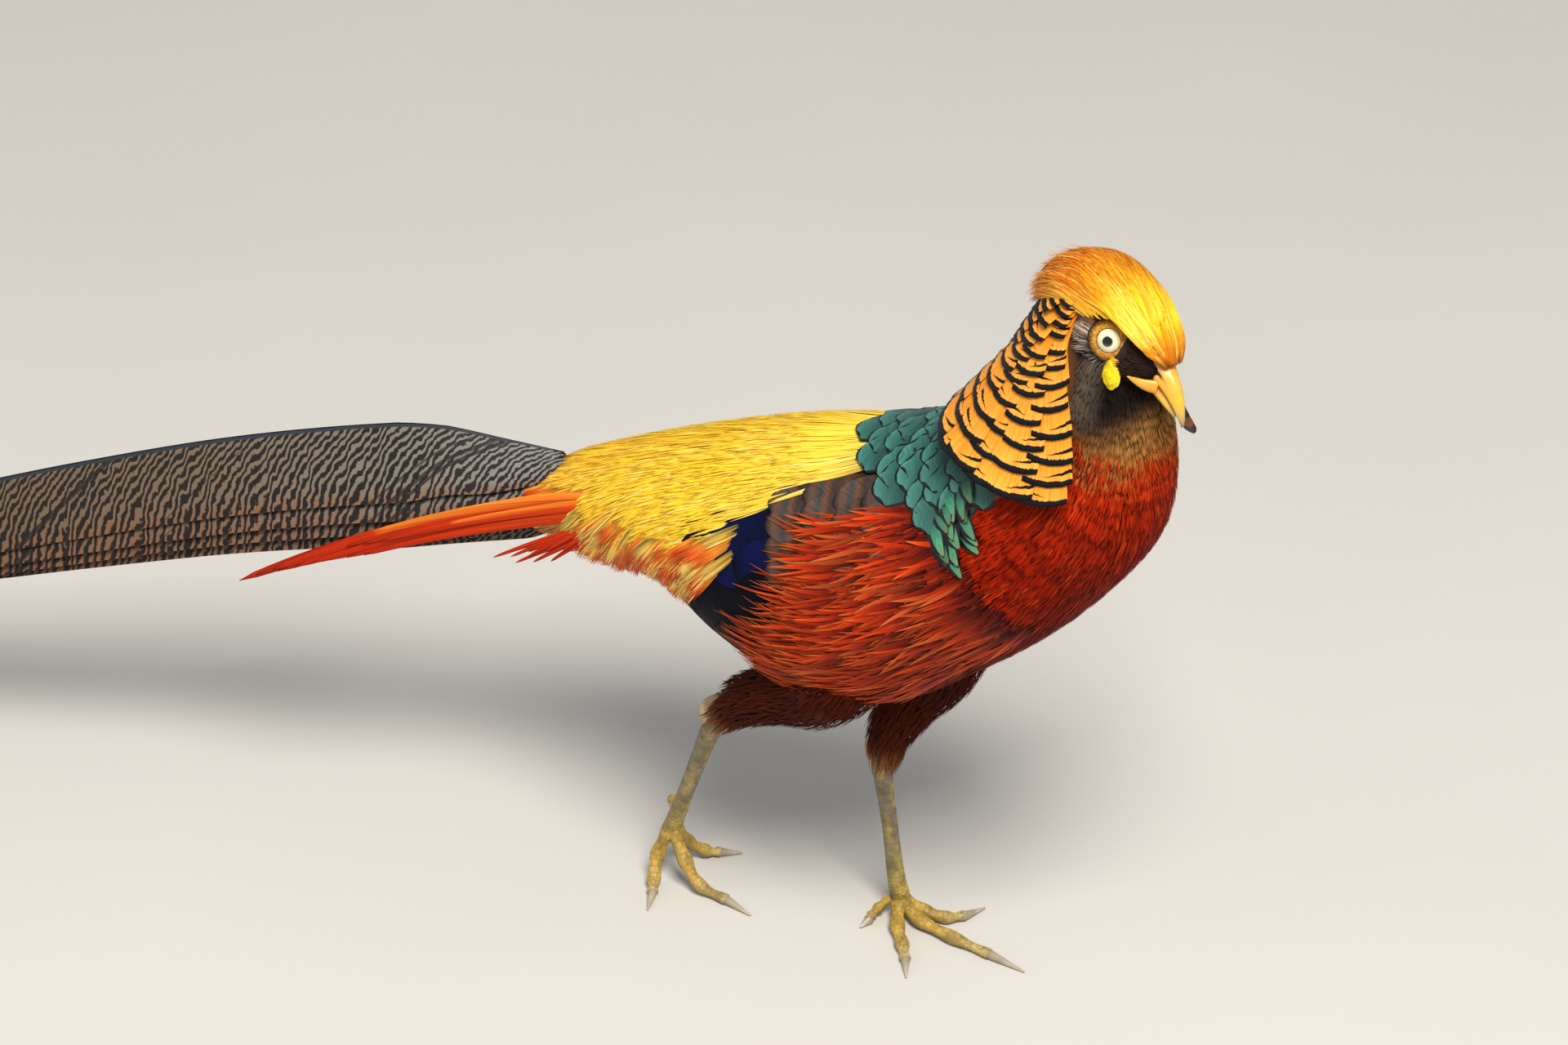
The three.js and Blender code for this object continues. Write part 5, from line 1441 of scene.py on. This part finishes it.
tufts = []
for side in (1, -1):
    for share, inner, outer in TAIL_PAIRS:
        t = np.linspace(0, 1, STATIONS)
        long = TAIL_LENGTH * share
        body = np.minimum(1, 0.75 + t * 5) * (1 - t**2.4) ** 0.62
        close = 0.5 + 0.5 * np.minimum(1, long * t / 70)
        lift = 0.62 + 0.38 * np.minimum(1, long * t / 52)
        wide, drop = outer[0] - inner[0], inner[1] - outer[1]
        out = (inner[0] + wide / 2 * body) * close
        rise = inner[1] * (1 - 0.6 * t) - drop / 2 * body
        rise = np.where(rise > 0, rise * lift, rise)
        points = tail_point(long * t, side * out, rise)
        face = unit(TAIL_LEFT * side * drop + np.array([0, 0, wide]))
        width = math.hypot(wide, drop) * body * close + 0.8
        rings = free_vane(points, width, face, *TAIL_RING, np.full(STATIONS, 0.6))
        from_ridge = -side * TAIL_RING[0]
        buff = run_of([(0, "#7E7C76"), (60, "#746C60"), (160, "#6C5944"), (400, "#644A30"),
                       (640, "#5A4128")], long * t)[:, None] + np.zeros((STATIONS, len(from_ridge), 3))
        redder = np.clip(from_ridge * 1.8 - 1.0, 0, 0.7) + np.zeros((STATIONS, 1))
        tufts.append({"points": rings[None], "across": from_ridge, "along": t,
                      "root": np.array([[share, side * inner[0]]]),
                      "pigment": over(buff, "#7C4E2E", redder)[None],
                      "tone": np.array([long / TAIL_BAR_STEP])})
coat("tail_feathers", tufts, tail_finish, ("tail",), patch=0.09)

# %% [markdown]
# ## Tail coverts
# Long narrow scarlet feathers leave the rump beside the tail, and the longest reach 140 mm along it.
# One blade for each would look like plastic, because their barbs are loose. So each covert is three
# thin blades that part towards the tip.

# %% Tail coverts
# Each covert: its end along the tail, the tip's height, its width, the root's height.
COVERTS = [(142, -26, 13, 10), (124, -23, 9, 6), (100, -19, 6, 3), (92, -12, 6, 9), (26, -17, 4, -1),
           (16, -19, 4, -4), (10, -13, 4, 1)]
COVERT_ROOT = -26
for word, side in (("left", 1), ("right", -1)):
    tufts = []
    for i, (end, low, wide, first) in enumerate(COVERTS):
        for blade in range(3):
            t = np.linspace(0, 1, 24)
            along = COVERT_ROOT + (end - 8 * blade - COVERT_ROOT) * t
            rise = first - (side + 1) * 3 + (low - first) * t**1.4 + (blade - 1) * (0.4 + 0.16 * wide * t)
            points = tail_point(along, side * (19.5 + 3 * t + 0.5 * i + 0.6 * blade), rise)
            body = np.minimum(1, 0.6 + 2 * t) * np.sqrt(1 - t) ** 0.8
            rings = free_vane(points, wide * (1 - 0.3 * t) * body + 0.3, TAIL_LEFT * side, *BROAD_RING,
                              np.full(24, 0.5))
            red = run_of([(0, "#D8842A"), (0.16, "#C83E0E"), (0.7, "#BA2C0A"), (1, "#A8240A")], t)
            lit = (t[:, None] < 0.66) * near(side * BROAD_RING[0], 0.5, 9, 0.4) * (blade == 2) * (i in (0, 3))
            pale = (t[:, None] < 0.85) * 0.8 * (blade == 0) * (i == 1) * np.ones(6)
            red = over(over(red[:, None] + np.zeros((24, 6, 3)), "#DE7E28", lit), "#CE9A54", pale)
            tufts.append({"points": rings[None], "across": BROAD_RING[0], "along": t,
                          "root": np.array([[i, blade]], float),
                          "pigment": red[None] * rng.uniform(0.85, 1.1)})
    coat("tail_coverts_" + word + "_plume", tufts, lance_plume,
         ("tail_coverts_" + word,), patch=0.12)

# %% [markdown]
# ## Legs
# Above the hock the leg is clad in short chestnut feathers that thin out towards the bare heel. They
# could be part of the belly's coat, but they follow the thigh, so they are laid on its own tube.

# %% Thigh feathers
for word, at in thighs.items():
    place, angle = scattered(at, 0.5, 4.2, -180, 180, (2.4, 2.0), jitter=0.6)
    heel = (place < 1.3) & (np.abs(angle) < 42)
    place, angle = place[~heel], angle[~heel]
    n = len(place)
    hair = laid(at, place, angle, rng.uniform(10, 15, n), rng.uniform(0.8, 1.3, n), -0.6,
                rng.uniform(0.3, 1.6, n), ((0, 0.8), (0.5, 1), (1, 0.15)), slant=rng.uniform(-10, 10, n),
                bend=rng.uniform(-8, 8, n), rings=4)
    brown = run_of([(0, "#7A4C2A"), (0.7, "#4C1E0E"), (3, "#441808"), (4.2, "#581606")],
                   hair["path"][..., 0])
    tinted(hair, brown, root=0.5, vary=0.3)
    coat("thigh_feathers_" + word, [hair], down_plume)

# %% [markdown]
# ## Shanks, toes and claws
# Below the hock the leg is scaled: two rows of broad scutes down the front, small round scales at the
# sides and back, and scutes across each toe, with soft pads beneath. A bump in the shader would leave
# the outline smooth. So the scales are a height over the tube: brick cells, each plump in its middle.
# Toes and claws are pressed flat where they meet the floor, and the heel is a knob of its own.

# %% Scales


def cells(u, v):
    """Brick cells: one in the middle of each cell and nought at its edge, every other row shifted
    by half a cell."""
    u = u + 0.5 * (np.floor(v) % 2)
    edge = np.maximum(np.abs(u - np.floor(u) - 0.5), np.abs(v - np.floor(v) - 0.5)) * 2
    return 1 - edge**5


def scale_plump(length, first_row, side_row, front):
    """How plump the scales are: broad cells in front, small ones at the sides and back. Rows are in
    millimetres, length is that of one place along the leg."""
    def plump(place, angle):
        """One kind of cell within front degrees of the front, and the other elsewhere."""
        turn = (angle + 180) % 360 - 180
        broad = cells(turn / front, place * length / first_row)
        small = cells(turn / 26, place * length / side_row)
        return np.where(np.abs(turn) < front, broad, small * 0.8)
    return plump


print("a cell's middle and edge", cells(np.array([0.5, 0.999]), np.array([0.5, 0.5])).round(2))

# %% Shanks, toes and claws
SHANK_HALF = [[4.6, 5.2], [3.9, 4.4], [3.2, 3.6], [3.9, 3.9], [4.8, 4.2]]
HEEL_HALF = [[2.6, 2.8], [3.9, 4.2], [1.6, 2.0]]
TOE_HALF = (3.5, 3.3, 3.0, 2.3)
FLOOR = 0.1  # the lowest point of a toe, in millimetres
for word, leg in LEGS.items():
    plump = scale_plump(18.0, 3.0, 2.0, 60.0)
    rings, place, angle = rings_on(tube(leg["shank"], SHANK_HALF), 0.0, 4.0, 240, 72,
                                   lambda p, q: 0.35 * plump(p, q) - 0.28)
    horn = run_of([(0, "#A88E68"), (0.6, "#85745C"), (2, "#7E7058"), (2.9, "#94844E"), (3.4, "#BCA24E"),
                   (4, "#C0A044")], place)
    patches = np.sin(place * 5 + 1) * np.cos(np.radians(angle * 2))
    horn = over(horn, "#C0A24A", near(patches, 0.3, 9, 0.5) * 0.5)
    horn = over(horn, "#4A3E22", (1 - plump(place, angle)) * 0.35)
    horn = over(horn, "#77704E", near(np.cos(np.radians(angle)), -2, 0.1, 0.5) * 0.5)
    heel, along, around = rings_on(tube(leg["hock"], HEEL_HALF), 0.0, 2.0, 40, 40)
    bone = run_of([(0, "#A8906A"), (1, "#BBA27A"), (2, "#8A6A4A")], along)
    solid("shank_scales_" + word, [(rings, horn), (heel, bone)], leg_keratin,
          ("shank_" + word,))
    for toe in ("outer", "middle", "inner", "hind"):
        points = np.array(leg[toe], float)
        size = 0.72 if toe == "hind" else 1
        sideways = unit(np.cross([0.0, 0.0, 1.0], points[3] - points[1]))
        plump = scale_plump(arc_length(points[:4]) / 3, 2.6, 1.7, 75.0)
        at = tube(points[:4], [[r * size, r * size * 0.95] for r in TOE_HALF], sideways)
        rings, place, angle = rings_on(at, 0.0, 3.0, 120, 48, lambda p, q: (
            0.3 * plump(p, q) + 0.4 * np.cos(2 * np.pi * p) - 0.45))
        rings[..., 2] = np.maximum(rings[..., 2], FLOOR)
        horn = run_of([(0, "#B8963C"), (1.5, "#C09C44"), (3, "#BCA668")], place)
        horn = over(horn, "#5A4624", (1 - plump(place, angle)) * 0.35)
        horn = over(horn, "#8E8050", near(np.cos(np.radians(angle)), -2, -0.2, 0.3))
        foot = toe + "_" + word
        solid("toe_scales_" + foot, [(rings, horn)], leg_keratin, ("toe_" + foot,))
        base = points[3] * 0.75 + points[2] * 0.25
        at = tube([base, points[3], points[4]], [[2.1, 2.2], [2.0, 2.1], [0.4, 0.4]], sideways)
        rings, place, angle = rings_on(at, 0.0, 2.0, 40, 24)
        rings[..., 2] = np.maximum(rings[..., 2], FLOOR)
        horn = run_of([(0, "#80704E"), (1.0, "#9A8A70"), (2, "#C2B49C")], place)
        solid("claw_horn_" + foot, [(rings, horn)], claw_keratin, ("claw_" + foot,))

# %% [markdown]
# ## Studio
# The bird is seen as the photograph has it, from its right front and a little above. Hard sunlight
# would hide half of the plumage, so the light is soft daylight: a bright dome, one large lamp high
# over the bird's right front and a weak one at its right rear.

# %% Camera
CAMERA_AT = (1.32473, -1.77686, 1.52105)
CAMERA_NOD, CAMERA_TURN, LENS = 58, 30, 136.5
camera = bpy.data.cameras.new("camera")
camera.lens = LENS
camera.sensor_width = 36
eye_point = bpy.data.objects.new("camera", camera)
eye_point.location = CAMERA_AT
eye_point.rotation_euler = (math.radians(CAMERA_NOD), 0, math.radians(CAMERA_TURN))
bpy.context.scene.collection.objects.link(eye_point)
bpy.context.scene.camera = eye_point
print("camera at", CAMERA_AT)

# %% Floor and light
# Each lamp: its name, its place, its power in watts, its side in metres.
LAMPS = (("key", (1.3, -1.0, 2.4), 95, 1.0), ("fill", (-1.8, -1.6, 1.4), 12, 2.0))
LIT_POINT = np.array([0.0, 0.0, 0.2])
floor_mesh = bpy.data.meshes.new("floor")
floor_mesh.from_pydata([(-9, -9, 0), (9, -9, 0), (9, 9, 0), (-9, 9, 0)], [], [(0, 1, 2, 3)])
keep_pigment(floor_mesh, np.tile(linear("#CFCAC2")[:3], (4, 1)))
floor = bpy.data.objects.new("floor", floor_mesh)
bpy.context.scene.collection.objects.link(floor)
floor_mesh.materials.append(studio_paper)

world = bpy.data.worlds.new("daylight")
world.use_nodes = True
world.node_tree.nodes["Background"].inputs[0].default_value = (0.88, 0.94, 1.0, 1)
world.node_tree.nodes["Background"].inputs[1].default_value = 0.42
bpy.context.scene.world = world
for label, spot, energy, size in LAMPS:
    lamp = bpy.data.lights.new(label, "AREA")
    lamp.energy = energy
    lamp.size = size
    lamp.color = (1.0, 0.97, 0.92)
    holder = bpy.data.objects.new(label, lamp)
    holder.location = spot
    x, y, z = LIT_POINT - spot
    holder.rotation_euler = (math.atan2(math.hypot(x, y), -z), 0, math.atan2(y, x) - math.pi / 2)
    bpy.context.scene.collection.objects.link(holder)
bpy.context.scene.view_settings.view_transform = "Standard"
print("lamps", len(LAMPS))
